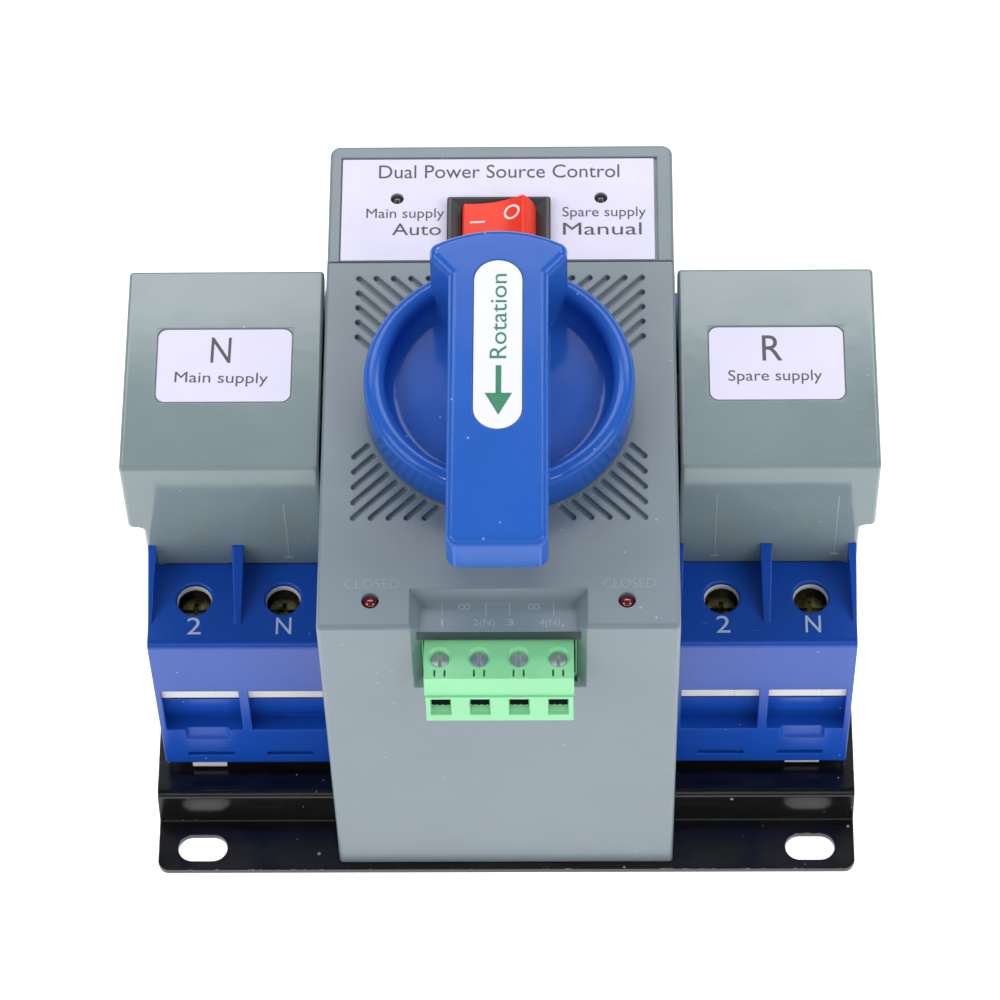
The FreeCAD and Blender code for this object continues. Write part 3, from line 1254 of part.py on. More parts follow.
def build():
    base_plate()
    din_rails()
    rail_rivets()
    base_screws()
    breaker_shells()
    shell_rivets()
    pole_group("arc_chutes", arc_chute)
    pole_group("trip_coils", trip_coil)
    pole_group("fixed_contacts", fixed_contact)
    pole_group("bimetals", bimetal)
    for name, side in (("left", -1), ("right", 1)):
        toggles(name + "_toggles", side)
        rail_latch(name + "_rail_latch", side)
        contact_arms(name + "_contact_arms", side)
        terminal_clamps(name + "_terminal_clamps", side)
        terminal_screws(name + "_terminal_screws", side)
        shroud(name + "_near_shroud", side, 0)
        shroud(name + "_far_shroud", side, 180)
        side_cover(name, side)
        slide(name + "_slide", side)
    centre_case()
    panel_cover()
    panel_label()
    chassis()
    motor()
    motor_pinion()
    drive_gear()
    drive_shaft()
    handle()
    handle_label()
    rocker_bezel()
    rocker_button()
    rocker_blades()
    lamps()
    control_board()
    limit_switches()
    terminal_header()
    terminal_plug()
    plug_fittings()


def check():
    """Stop on any object that failed, or any sub-part that is not a valid solid."""
    failed = [thing.Name for thing in doc.Objects if {"Invalid", "Error"} & set(thing.State)]
    if failed:
        raise RuntimeError(f"failed objects: {failed}")
    for piece in nodes:
        shape = piece.Shape
        if shape.isNull() or not shape.isValid() or not shape.Solids:
            raise RuntimeError(f"{piece.Label} has no valid solid")


build()
doc.recompute()
check()
os.makedirs("parts", exist_ok=True)
for piece in nodes:
    piece.Shape.exportStep(f"parts/{piece.Label}.step")
    print(f"{piece.Label}: {len(piece.Shape.Solids)} solids, {piece.Shape.Volume:.0f} mm3")
print(len(nodes), "nodes")
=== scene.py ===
import json
import math

import bmesh
import bpy
from mathutils import Matrix, Vector
from mathutils.bvhtree import BVHTree


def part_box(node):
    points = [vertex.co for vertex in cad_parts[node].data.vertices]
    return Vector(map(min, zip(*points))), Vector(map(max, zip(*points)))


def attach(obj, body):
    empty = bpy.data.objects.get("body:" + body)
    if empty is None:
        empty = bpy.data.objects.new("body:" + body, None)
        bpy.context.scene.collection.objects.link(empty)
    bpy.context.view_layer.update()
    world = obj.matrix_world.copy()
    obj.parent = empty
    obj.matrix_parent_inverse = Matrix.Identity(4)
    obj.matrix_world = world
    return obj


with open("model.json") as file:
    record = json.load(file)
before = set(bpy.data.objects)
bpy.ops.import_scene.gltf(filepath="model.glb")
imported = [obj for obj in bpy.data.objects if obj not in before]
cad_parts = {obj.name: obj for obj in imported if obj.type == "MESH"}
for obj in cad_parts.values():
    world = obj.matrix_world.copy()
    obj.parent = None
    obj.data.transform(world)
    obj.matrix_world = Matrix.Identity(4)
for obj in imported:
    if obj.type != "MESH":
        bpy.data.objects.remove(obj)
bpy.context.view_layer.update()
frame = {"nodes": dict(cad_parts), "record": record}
MM = 0.001


# ---- camera, floor and lights -------------------------------------------------------------------

CAMERA_PLACE = Vector((0.01444, -0.48232, 0.85466))
CAMERA_YAW = math.radians(-1.797)
CAMERA_PITCH = math.radians(58.867)
CAMERA_ROLL = math.radians(-1.759)
CAMERA_LENS = 162.38
SENSOR_WIDTH = 36

SIDE_LIGHT = {"size": (0.7, 0.7), "radiance": 4.4}
FRONT_LIGHT = {"size": (1.3, 0.8), "radiance": 1.1, "tint": (0.94, 0.98, 1.0)}
LAMP = {"size": (0.14, 0.26), "radiance": 22.0}
BACK_LIGHT = {"size": (1.9, 0.42), "radiance": 5.0}
LOW_AIM = (0, 0, 0.05)
HIGH_AIM = (0, 0, 0.08)
ROOM_TINT = (0.82, 0.9, 1.0, 1)
ROOM_STRENGTH = 0.14
FLOOR_HALF = 4.0
FLOOR_GAP = 0.00005


def add_camera():
    """A long lens on a camera that looks down at the switch's front."""
    forward = Vector((math.sin(CAMERA_YAW) * math.cos(CAMERA_PITCH),
                      math.cos(CAMERA_YAW) * math.cos(CAMERA_PITCH), -math.sin(CAMERA_PITCH)))
    right = Vector((math.cos(CAMERA_YAW), -math.sin(CAMERA_YAW), 0))
    up = right.cross(forward)
    turned_right = right * math.cos(CAMERA_ROLL) + up * math.sin(CAMERA_ROLL)
    turned_up = up * math.cos(CAMERA_ROLL) - right * math.sin(CAMERA_ROLL)
    data = bpy.data.cameras.new("camera")
    data.sensor_width = SENSOR_WIDTH
    data.lens = CAMERA_LENS
    camera = bpy.data.objects.new("camera", data)
    axes = Matrix((turned_right, turned_up, -forward)).transposed()
    camera.matrix_world = Matrix.Translation(CAMERA_PLACE) @ axes.to_4x4()
    bpy.context.scene.collection.objects.link(camera)
    bpy.context.scene.camera = camera


def add_light(name, place, target, size, radiance, tint=(1, 1, 1)):
    """A rectangular soft light that faces a target, given by how bright its face is."""
    data = bpy.data.lights.new(name, "AREA")
    data.shape = "RECTANGLE"
    data.size, data.size_y = size
    data.energy = radiance * math.pi * size[0] * size[1]
    data.color = tint
    light = bpy.data.objects.new(name, data)
    aim = (Vector(target) - Vector(place)).to_track_quat("-Z", "Y")
    light.matrix_world = Matrix.Translation(place) @ aim.to_matrix().to_4x4()
    bpy.context.scene.collection.objects.link(light)


def add_studio():
    """Pale floor, soft lights at the sides, in front and behind, two small front lamps that put
    the bright streaks on rounded edges, and a dim room."""
    add_light("left_light", (-1.05, -0.25, 0.95), LOW_AIM, **SIDE_LIGHT)
    add_light("right_light", (1.05, -0.25, 0.95), LOW_AIM, **SIDE_LIGHT)
    add_light("front_light", (0.0, -1.15, 1.0), LOW_AIM, **FRONT_LIGHT)
    add_light("left_lamp", (-0.8, -0.95, 1.0), LOW_AIM, **LAMP)
    add_light("right_lamp", (0.8, -0.95, 1.0), LOW_AIM, **LAMP)
    add_light("back_light", (0.0, 0.88, 1.055), HIGH_AIM, **BACK_LIGHT)
    world = bpy.data.worlds.new("room")
    world.use_nodes = True
    background = world.node_tree.nodes["Background"]
    background.inputs["Color"].default_value = ROOM_TINT
    background.inputs["Strength"].default_value = ROOM_STRENGTH
    bpy.context.scene.world = world
    add_floor()
    bpy.context.scene.view_settings.view_transform = "Standard"


def add_floor():
    """Flat pale sheet that the switch stands on, just clear of the plate."""
    mesh = bpy.data.meshes.new("floor")
    build = bmesh.new()
    bmesh.ops.create_grid(build, x_segments=8, y_segments=8, size=FLOOR_HALF)
    build.to_mesh(mesh)
    build.free()
    mesh.materials.append(floor_material())
    floor = bpy.data.objects.new("floor", mesh)
    floor.location.z = -FLOOR_GAP
    bpy.context.scene.collection.objects.link(floor)


# ---- materials ----------------------------------------------------------------------------------

# cosine between the softened and the true normal, where edge wear and painted edge highlight begin
# and where they are full
TRUE_LEAN, EDGE_FULL_LEAN = 0.995, 0.88
# narrow band in which a dot or scratch is switched on, as a share of its threshold
SHARP = 0.98
SCRATCH_CELLS = (36.0, 640.0, 640.0)
SCRATCH_REACH = 0.045


class Graph:
    """A material's nodes, with short calls to add and join them."""

    def __init__(self, name):
        self.material = bpy.data.materials.new(name)
        self.material.use_nodes = True
        self.tree = self.material.node_tree
        self.tree.nodes.clear()
        output = self.tree.nodes.new("ShaderNodeOutputMaterial")
        self.shader = self.tree.nodes.new("ShaderNodeBsdfPrincipled")
        self.tree.links.new(self.shader.outputs["BSDF"], output.inputs["Surface"])
        self.place = self.tree.nodes.new("ShaderNodeTexCoord").outputs["Object"]

    def put(self, target, value):
        """Give an input a number, a colour or another node's output."""
        if isinstance(value, bpy.types.NodeSocket):
            self.tree.links.new(value, target)
        elif isinstance(value, (tuple, list)) and len(value) == 3 and target.type == "RGBA":
            target.default_value = (*value, 1)
        else:
            target.default_value = value

    def add(self, kind, inputs, **settings):
        """A node with its settings and inputs, keyed by name or number."""
        made = self.tree.nodes.new("ShaderNode" + kind)
        for name, value in settings.items():
            setattr(made, name, value)
        for key, value in inputs.items():
            self.put(made.inputs[key], value)
        return made

    def stretched(self, x, y, z):
        """Object coordinates scaled on each axis."""
        return self.add("Mapping", {"Vector": self.place, "Scale": (x, y, z)}).outputs[0]

    def noise(self, scale, detail=3.0, place=None, rough=0.55):
        """Cloudy noise between zero and one."""
        return self.add("TexNoise", {"Vector": place or self.place, "Scale": scale,
                                     "Detail": detail, "Roughness": rough}).outputs["Fac"]

    def cells(self, scale, place=None):
        """Voronoi cells, each with a distance and a colour of its own."""
        return self.add("TexVoronoi", {"Vector": place or self.place, "Scale": scale})

    def spread(self, value, low, high, to_low=0.0, to_high=1.0):
        """Remap a value, clamped."""
        return self.add("MapRange", {"Value": value, "From Min": low, "From Max": high,
                                     "To Min": to_low, "To Max": to_high}).outputs[0]

    def sum(self, a, b, operation="ADD"):
        """Two values added, or joined by another operation."""
        return self.add("Math", {0: a, 1: b}, operation=operation).outputs[0]

    def blend(self, share, a, b):
        """Mix of two colours."""
        node = self.add("Mix", {"Factor": share}, data_type="RGBA")
        self.put(node.inputs["A"], a)
        self.put(node.inputs["B"], b)
        return next(out for out in node.outputs if out.type == "RGBA")

    def bump(self, height, depth, normal=None):
        """Normal of a relief with this depth in metres, over another normal if one is given."""
        node = self.add("Bump", {"Height": height, "Distance": depth, "Strength": 1.0})
        if normal is not None:
            self.put(node.inputs["Normal"], normal)
        return node.outputs[0]

    def edges(self, radius):
        """Softened normal, and how far it leans away from the true one."""
        soft = self.add("Bevel", {"Radius": radius}, samples=6).outputs[0]
        flat = self.add("NewGeometry", {}).outputs["Normal"]
        lean = self.add("VectorMath", {0: soft, 1: flat}, operation="DOT_PRODUCT").outputs["Value"]
        return soft, self.spread(lean, TRUE_LEAN, EDGE_FULL_LEAN)

    def specks(self, scale, size, share):
        """Sparse round dots: dust and pits."""
        cells = self.cells(scale)
        near = self.spread(cells.outputs["Distance"], size, size * 0.4)
        chosen = self.add("SeparateColor", {0: cells.outputs["Color"]}).outputs[0]
        return self.sum(near, self.spread(chosen, share, share * SHARP), "MULTIPLY")

    def scratches(self, turn, share):
        """Sparse short scratches that all run one way."""
        place = self.add("Mapping", {"Vector": self.place, "Rotation": turn,
                                     "Scale": SCRATCH_CELLS}).outputs[0]
        cells = self.cells(1.0, place)
        near = self.spread(cells.outputs["Distance"], SCRATCH_REACH, SCRATCH_REACH * 0.5)
        chosen = self.add("SeparateColor", {0: cells.outputs["Color"]}).outputs[0]
        return self.sum(near, self.spread(chosen, share, share * SHARP), "MULTIPLY")

    def finish(self, **values):
        """Feed the shader's inputs and give back the material."""
        for name, value in values.items():
            self.put(self.shader.inputs[name.replace("_", " ")], value)
        return self.material


def shade(colour, amount):
    """A colour made lighter or darker."""
    return tuple(min(1.0, part * amount) for part in colour)


def floor_material():
    """Matt pale paper that also glows, so that it comes out white."""
    graph = Graph("floor_paper")
    tone = graph.blend(graph.noise(6.0), (0.93, 0.93, 0.93), (0.97, 0.97, 0.97))
    normal = graph.bump(graph.noise(900.0), 0.00002)
    graph.shader.inputs["Emission Color"].default_value = (1, 1, 1, 1)
    graph.shader.inputs["Emission Strength"].default_value = 0.8
    graph.shader.inputs["Specular IOR Level"].default_value = 0.1
    return graph.finish(Base_Color=tone, Roughness=0.9, Normal=normal)


def moulded(name, colour, roughness=0.3, edge=0.4, dust=0.2, scuffs=0.35, wear_and_highlight=1.25, gloss=0.5):
    """Glossy injection-moulded plastic: faint flow marks, fine grain, hair scratches, dust and
    edges made a little lighter, partly as rubbed wear and partly as painted highlight."""
    graph = Graph(name)
    soft, lean = graph.edges(edge * MM)
    cloudy = graph.noise(42.0, 4.0)
    fine = graph.noise(1100.0, 2.0)
    ripple = graph.noise(130.0, 2.0)
    hair = graph.scratches((0.2, 0.35, 0.5), scuffs * 0.5)
    hair = graph.sum(hair, graph.scratches((0.5, 1.25, -0.7), scuffs * 0.4), "MAXIMUM")
    dots = graph.specks(330.0, 0.10, dust)
    tone = graph.blend(graph.spread(cloudy, 0.3, 0.7), shade(colour, 0.96), shade(colour, 1.04))
    # lighter edges: partly rubbed wear, partly painted highlight
    tone = graph.blend(graph.sum(lean, 0.35, "MULTIPLY"), tone, shade(colour, wear_and_highlight))
    pale = tuple(0.5 * part + 0.3 for part in colour)
    tone = graph.blend(graph.sum(hair, 0.4, "MULTIPLY"), tone, pale)
    tone = graph.blend(graph.sum(dots, 0.5, "MULTIPLY"), tone, (0.62, 0.62, 0.6))
    rough = graph.spread(graph.noise(70.0, 5.0), 0.25, 0.75, roughness - 0.03, roughness + 0.04)
    rough = graph.sum(rough, graph.sum(hair, 0.2, "MULTIPLY"))
    rough = graph.sum(rough, graph.sum(dots, 0.4, "MULTIPLY"))
    normal = graph.bump(ripple, 0.000022, soft)
    normal = graph.bump(fine, 0.0000022, normal)
    normal = graph.bump(graph.sum(dots, hair), 0.000012, normal)
    graph.shader.inputs["Specular IOR Level"].default_value = gloss
    return graph.finish(Base_Color=tone, Roughness=rough, Normal=normal)


def metal(name, colour, roughness, dirt, tarnish=0.5):
    """Plated or bare metal with drawn grain, tarnish in patches and bright edges."""
    graph = Graph(name)
    soft, lean = graph.edges(0.15 * MM)
    grain = graph.noise(1.0, 4.0, graph.stretched(60, 900, 60))
    patch = graph.spread(graph.noise(420.0, 5.0), 0.42, 0.62, 0.0, tarnish)
    tone = graph.blend(patch, colour, dirt)
    tone = graph.blend(graph.sum(lean, 0.5, "MULTIPLY"), tone, shade(colour, 1.3))
    rough = graph.sum(graph.spread(grain, 0.3, 0.7, roughness - 0.06, roughness + 0.08),
                      graph.sum(patch, 0.25, "MULTIPLY"))
    normal = graph.bump(grain, 0.000006, soft)
    normal = graph.bump(patch, 0.00001, normal)
    graph.shader.inputs["Metallic"].default_value = 1.0
    return graph.finish(Base_Color=tone, Roughness=rough, Normal=normal)


def film(name, colour):
    """Printed plastic film: nearly smooth, with a faint weave of the print and tiny pits."""
    graph = Graph(name)
    print_grain = graph.noise(1000.0, 2.0)
    cloudy = graph.noise(60.0, 2.0)
    tone = graph.blend(graph.spread(cloudy, 0.3, 0.7), shade(colour, 0.98), shade(colour, 1.01))
    tone = graph.blend(graph.spread(print_grain, 0.55, 0.8, 0.0, 0.2), tone, shade(colour, 0.95))
    dots = graph.specks(420.0, 0.09, 0.08)
    tone = graph.blend(graph.sum(dots, 0.5, "MULTIPLY"), tone, (0.35, 0.34, 0.36))
    rough = graph.spread(graph.noise(200.0, 3.0), 0.3, 0.7, 0.30, 0.40)
    normal = graph.bump(graph.noise(90.0, 2.0), 0.00003)
    normal = graph.bump(print_grain, 0.000002, normal)
    return graph.finish(Base_Color=tone, Roughness=rough, Normal=normal)


def ink(name, colour):
    """Screen-printed ink: a matt layer whose cover is not quite even."""
    graph = Graph(name)
    thin = graph.spread(graph.noise(2600.0, 3.0), 0.35, 0.7)
    tone = graph.blend(thin, shade(colour, 0.88), shade(colour, 1.18))
    rough = graph.spread(graph.noise(900.0), 0.3, 0.7, 0.42, 0.6)
    normal = graph.bump(graph.noise(3200.0), 0.000004)
    return graph.finish(Base_Color=tone, Roughness=rough, Normal=normal)


def painted_steel(name, colour):
    """Gloss-painted steel with orange peel, dust and chipped edges."""
    graph = Graph(name)
    soft, lean = graph.edges(0.35 * MM)
    peel = graph.noise(650.0, 2.0)
    wide = graph.noise(60.0, 3.0)
    chips = graph.sum(lean, graph.spread(graph.noise(500.0, 5.0), 0.56, 0.62), "MULTIPLY")
    dust = graph.sum(graph.specks(170.0, 0.075, 0.34), graph.specks(700.0, 0.12, 0.10), "MAXIMUM")
    smears = graph.spread(graph.noise(55.0, 6.0, graph.stretched(1.0, 5.0, 5.0), 0.65), 0.5, 0.8)
    tone = graph.blend(graph.spread(wide, 0.3, 0.7), shade(colour, 0.75), shade(colour, 1.35))
    tone = graph.blend(graph.sum(smears, 0.05, "MULTIPLY"), tone, (0.2, 0.2, 0.2))
    tone = graph.blend(graph.sum(dust, 0.75, "MULTIPLY"), tone, (0.5, 0.5, 0.5))
    tone = graph.blend(graph.sum(chips, 0.8, "MULTIPLY"), tone, (0.42, 0.41, 0.40))
    rough = graph.spread(wide, 0.3, 0.7, 0.14, 0.21)
    rough = graph.sum(rough, graph.sum(smears, 0.05, "MULTIPLY"))
    rough = graph.sum(rough, graph.sum(dust, 0.5, "MULTIPLY"))
    normal = graph.bump(peel, 0.000005, soft)
    normal = graph.bump(dust, 0.00003, normal)
    return graph.finish(Base_Color=tone, Roughness=rough, Normal=normal)


def lens(name, colour):
    """Tinted clear epoxy of a small lamp."""
    graph = Graph(name)
    cloudy = graph.noise(700.0, 3.0)
    tone = graph.blend(graph.spread(cloudy, 0.3, 0.7), shade(colour, 0.7), shade(colour, 1.2))
    rough = graph.spread(graph.noise(1500.0), 0.3, 0.7, 0.06, 0.16)
    graph.shader.inputs["Transmission Weight"].default_value = 0.35
    graph.shader.inputs["Coat Weight"].default_value = 0.6
    graph.shader.inputs["Coat Roughness"].default_value = 0.05
    return graph.finish(Base_Color=tone, Roughness=rough, Normal=graph.bump(cloudy, 0.00001))


def wound_copper(name):
    """Enamelled winding: turns side by side along Y."""
    graph = Graph(name)
    turns = graph.add("TexWave", {"Vector": graph.place, "Scale": 500.0, "Distortion": 0.6},
                      bands_direction="Y").outputs["Fac"]
    tone = graph.blend(turns, (0.12, 0.035, 0.012), (0.62, 0.24, 0.09))
    rough = graph.spread(graph.noise(900.0), 0.3, 0.7, 0.25, 0.4)
    graph.shader.inputs["Metallic"].default_value = 0.8
    return graph.finish(Base_Color=tone, Roughness=rough, Normal=graph.bump(turns, 0.0002))


def board(name):
    """Solder-masked circuit board with the glass weave showing through."""
    graph = Graph(name)
    weave = graph.add("TexChecker", {"Vector": graph.place, "Scale": 900.0}).outputs["Fac"]
    tracks = graph.spread(graph.cells(160.0).outputs["Distance"], 0.02, 0.05)
    tone = graph.blend(weave, (0.012, 0.11, 0.03), (0.018, 0.15, 0.045))
    tone = graph.blend(tracks, (0.05, 0.26, 0.09), tone)
    rough = graph.spread(graph.noise(500.0), 0.3, 0.7, 0.2, 0.35)
    return graph.finish(Base_Color=tone, Roughness=rough, Normal=graph.bump(weave, 0.000006))


CASE_GREY = (0.185, 0.230, 0.262)
COVER_GREY = (0.205, 0.262, 0.272)
SHROUD_BLUE = (0.006, 0.068, 0.42)
HANDLE_BLUE = (0.021, 0.112, 0.488)
FILM_WHITE = (0.695, 0.665, 0.83)

finishes = {
    "black_plate": painted_steel("black_paint", (0.0035, 0.0033, 0.0038)),
    "zinc_rail": metal("zinc_rail", (0.62, 0.63, 0.60), 0.34, (0.42, 0.40, 0.33)),
    "zinc_fastener": metal("zinc_fastener", (0.66, 0.66, 0.64), 0.34, (0.4, 0.38, 0.32)),
    "case_grey": moulded("case_grey", CASE_GREY, 0.315),
    "cover_grey": moulded("cover_grey", COVER_GREY, 0.085, scuffs=0.9),
    "shell_white": moulded("shell_white", (0.72, 0.72, 0.69), 0.4, scuffs=0.2),
    "shroud_blue": moulded("shroud_blue", SHROUD_BLUE, 0.21, wear_and_highlight=1.6, gloss=0.38),
    "handle_blue": moulded("handle_blue", HANDLE_BLUE, 0.13, wear_and_highlight=1.7, gloss=0.22),
    "label_white": film("label_film", FILM_WHITE),
    "tag_white": film("tag_film", (0.80, 0.81, 0.84)),
    "toggle_black": moulded("toggle_black", (0.012, 0.012, 0.013), 0.35),
    "latch_white": moulded("latch_white", (0.75, 0.74, 0.70), 0.42),
    "brass_terminal": metal("brass_terminal", (0.50, 0.45, 0.20), 0.34, (0.10, 0.095, 0.035), 1.0),
    "clamp_steel": metal("clamp_steel", (0.55, 0.55, 0.53), 0.35, (0.3, 0.29, 0.26)),
    "copper_parts": metal("copper_parts", (0.78, 0.40, 0.24), 0.35, (0.35, 0.14, 0.07)),
    "chute_steel": metal("chute_steel", (0.42, 0.43, 0.44), 0.4, (0.2, 0.19, 0.18)),
    "coil_copper": wound_copper("coil_copper"),
    "bimetal_strip": metal("bimetal_strip", (0.55, 0.52, 0.46), 0.35, (0.35, 0.28, 0.2)),
    "chassis_steel": metal("chassis_steel", (0.58, 0.6, 0.62), 0.36, (0.36, 0.35, 0.32)),
    "drive_nylon": moulded("drive_nylon", (0.66, 0.64, 0.56), 0.45, scuffs=0.1),
    "shaft_steel": metal("shaft_steel", (0.52, 0.53, 0.54), 0.35, (0.3, 0.29, 0.27)),
    "motor_can": metal("motor_can", (0.5, 0.51, 0.52), 0.35, (0.3, 0.3, 0.29)),
    "bezel_black": moulded("bezel_black", (0.040, 0.043, 0.046), 0.36, edge=0.25, wear_and_highlight=2.4),
    "rocker_red": moulded("rocker_red", (0.90, 0.045, 0.018), 0.32, edge=0.3, scuffs=0.1, dust=0.05,
                          gloss=0.22),
    "blade_brass": metal("blade_brass", (0.68, 0.52, 0.25), 0.35, (0.35, 0.25, 0.1)),
    "supply_lens": lens("supply_lens", (0.10, 0.075, 0.06)),
    "closed_lens": lens("closed_lens", (0.24, 0.006, 0.008)),
    "board_green": board("board_green"),
    "relay_black": moulded("relay_black", (0.02, 0.02, 0.022), 0.4),
    "terminal_green": moulded("terminal_green", (0.245, 0.68, 0.335), 0.36, edge=0.2, scuffs=0.1,
                              dust=0.08, wear_and_highlight=1.3),
    "plug_screw_steel": metal("plug_screw_steel", (0.93, 0.93, 0.93), 0.36, (0.78, 0.78, 0.78),
                              0.2),
}


def dress_nodes():
    """Give every CAD node the finish of its material slot."""
    slots = {entry["node"]: entry["material_slot"] for entry in frame["record"]["subparts"]}
    for name, piece in frame["nodes"].items():
        slot = slots[name]
        piece.data.materials.clear()
        piece.data.materials.append(finishes[slot])


# ---- printed and moulded marks, in millimetres --------------------------------------------------

DARK_INK = ink("dark_ink", (0.075, 0.072, 0.082))
GREEN_INK = ink("green_ink", (0.022, 0.215, 0.115))
PALE_INK = ink("pale_ink", (0.46, 0.56, 0.74))
WHITE_INK = ink("white_ink", (0.86, 0.83, 0.82))
# raised moulded marks: lighter copies of the case and cover greys, as painted highlight
RAISED_HIGHLIGHT_GREY = moulded("raised_highlight_grey", shade(CASE_GREY, 1.6), 0.3, edge=0.06, scuffs=0.0, dust=0.0)
FAINT_HIGHLIGHT_GREY = moulded("faint_highlight_grey", shade(CASE_GREY, 1.3), 0.32, edge=0.06, scuffs=0.0, dust=0.0)
RAISED_HIGHLIGHT_COVER = moulded("raised_highlight_cover", shade(COVER_GREY, 1.45), 0.3, edge=0.05, scuffs=0.0,
                       dust=0.0)
# painted shade: a dark copy of the case grey for the front of the shelf's lip
PAINTED_SHADE_FACING = moulded("painted_shade_facing", shade(CASE_GREY, 0.3), 0.5, scuffs=0.1, dust=0.1, gloss=0.1)
# painted shade: near-black for the clamp edge inside the plug's wire funnels
PAINTED_SHADE_CLAMP = moulded("painted_shade_clamp", (0.003, 0.005, 0.004), 0.85, scuffs=0.0, dust=0.0, gloss=0.03)
# depth of a printed mark, and the turn that stands a flat outline up to face the viewer
INK_DEPTH = 0.06
UPRIGHT = Matrix.Rotation(math.pi / 2, 4, "X")

# numerals on the shrouds
SHROUD_TOP = 62.8
NUMERAL_HALVES = {"1": 0.45, "2": 1.4, "N": 1.55}
NUMERAL_BASES = {"near": 2.75, "far": -6.5}
NUMERAL_CAP = 3.85

# shelf behind the plug: ticks, pair signs and the sheet of painted shade on the front of its lip
SHELF_TOP = 98.3
TICKS = (-11.0, -2.45, 2.1, 10.6)
TICK_HALF = 0.1
TICK_SPAN = (4.7, 7.3)
PAIR_SIGNS = (-6.6, 6.8)
PAIR_HALF = 0.55
PAIR_Y = 6.6
LIP_FRONT = 55.3
LIP_HALF = 15.85
LIP_SPAN = (-3.05, -0.1)
PAINTED_SHADE_DEPTH = 0.1

# mould lines on the covers
LINE_HALF = 0.12
FOOT_HALF = 0.9
LINE_SUNK = 0.1

# corners of the covers' sunk label fields
CORNER_RADIUS = 2.3
CORNER_GAP = 0.35
CORNER_STEPS = 8
CORNER_DEPTH = 0.26
CORNER_SUNK = 0.15

# wire funnels of the plug, measured from its front and its underside
PLUG_WAYS = 4
PLUG_PITCH = 7.62
TOOTH_TOP = 8.6
TOOTH_EDGE = ((-1.85, 5.2), (-1.3, 4.8), (-0.75, 5.1), (-0.2, 4.7), (0.35, 5.1), (0.9, 4.7),
              (1.4, 5.0), (1.85, 4.8))
TOOTH_INSET = 1.0
TOOTH_DEPTH = 0.3
SLOPE_SPAN = (0.25, 3.3)
SLOPE_HEIGHTS = (2.25, 4.85)
SLOPE_WIDTH = 3.75


def middle_of(node):
    """Middle of a node's box in plan, at its top, in millimetres."""
    low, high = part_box(node)
    return Vector(((low.x + high.x) / 2, (low.y + high.y) / 2, high.z)) / MM


def glyphs(text):
    """A text's mesh, one unit deep, with its capitals one unit high and its left end at zero."""
    meshes = []
    for words in (text, "H"):
        curve = bpy.data.curves.new("glyphs", "FONT")
        curve.body = words
        curve.extrude = 0.5
        curve.resolution_u = 5
        holder = bpy.data.objects.new("glyphs", curve)
        bpy.context.scene.collection.objects.link(holder)
        bpy.context.view_layer.update()
        meshes.append(bpy.data.meshes.new_from_object(holder))
        bpy.data.objects.remove(holder)
    mesh, capital = meshes
    height = max(point.co.y for point in capital.vertices)
    left = min(point.co.x for point in mesh.vertices)
    for point in mesh.vertices:
        point.co.x = (point.co.x - left) / height
        point.co.y /= height
    bpy.data.meshes.remove(capital)
    return mesh


def prism(outlines):
    """A mesh one unit deep with the given flat outlines, each a list of (x, y)."""
    build = bmesh.new()
    for outline in outlines:
        low = [build.verts.new((x, y, -0.5)) for x, y in outline]
        high = [build.verts.new((x, y, 0.5)) for x, y in outline]
        build.faces.new(high)
        build.faces.new(low[::-1])
        for first in range(len(outline)):
            after = (first + 1) % len(outline)
            build.faces.new((low[first], low[after], high[after], high[first]))
    bmesh.ops.recalc_face_normals(build, faces=build.faces)
    mesh = bpy.data.meshes.new("prism")
    build.to_mesh(mesh)
    build.free()
    return mesh


def bar(x0, y0, x1, y1):
    """Outline of a rectangle."""
    return [(x0, y0), (x1, y0), (x1, y1), (x0, y1)]


def ring(x, y, radius_x, radius_y, stroke, count=40):
    """Outlines of the quads that make up an oval ring."""
    quads = []
    for step in range(count):
        corners = []
        for part, inner in ((step, 0), (step + 1, 0), (step + 1, 1), (step, 1)):
            angle = math.tau * part / count
            corners.append((x + (radius_x - inner * stroke) * math.cos(angle),
                            y + (radius_y - inner * stroke) * math.sin(angle)))
        quads.append(corners)
    return quads


def lay(name, mesh, matrix, depth, body, material):
    """Put a unit-deep mark in place, half sunk in the surface, and let it ride a body."""
    for point in mesh.vertices:
        flat = Vector((point.co.x, point.co.y, point.co.z * depth))
        point.co = (matrix @ flat) * MM
    mesh.name = name
    mesh.materials.clear()
    mesh.materials.append(material)
    piece = bpy.data.objects.new(name, mesh)
    bpy.context.scene.collection.objects.link(piece)
    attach(piece, body)


def lettering(name, text, origin, left, right, base, cap, body, material,
              turn=0.0, depth=INK_DEPTH):
    """A line of lettering between two ends on a baseline, measured from an origin and turned
    round it about Z."""
    mesh = glyphs(text)
    reach = max(point.co.x for point in mesh.vertices)
    for point in mesh.vertices:
        point.co.x = left + point.co.x * (right - left) / reach
        point.co.y = base + point.co.y * cap
    matrix = Matrix.Translation(origin) @ Matrix.Rotation(turn, 4, "Z")
    lay(name, mesh, matrix, depth, body, material)


def mark_panel():
    """Captions of the panel label."""
    origin = middle_of("panel_label")
    for name, text, left, right, base, cap in (
            ("panel_title", "Dual Power Source Control", -24.3, 24.7, 7.75, 3.2),
            ("panel_main_supply", "Main supply", -26.7, -10.9, -2.05, 2.3),
            ("panel_auto", "Auto", -21.4, -11.5, -6.3, 2.85),
            ("panel_spare_supply", "Spare supply", 13.1, 30.0, -1.9, 2.3),
            ("panel_manual", "Manual", 13.2, 29.1, -6.4, 2.95)):
        lettering(name, text, origin, left, right, base, cap, "root", DARK_INK)


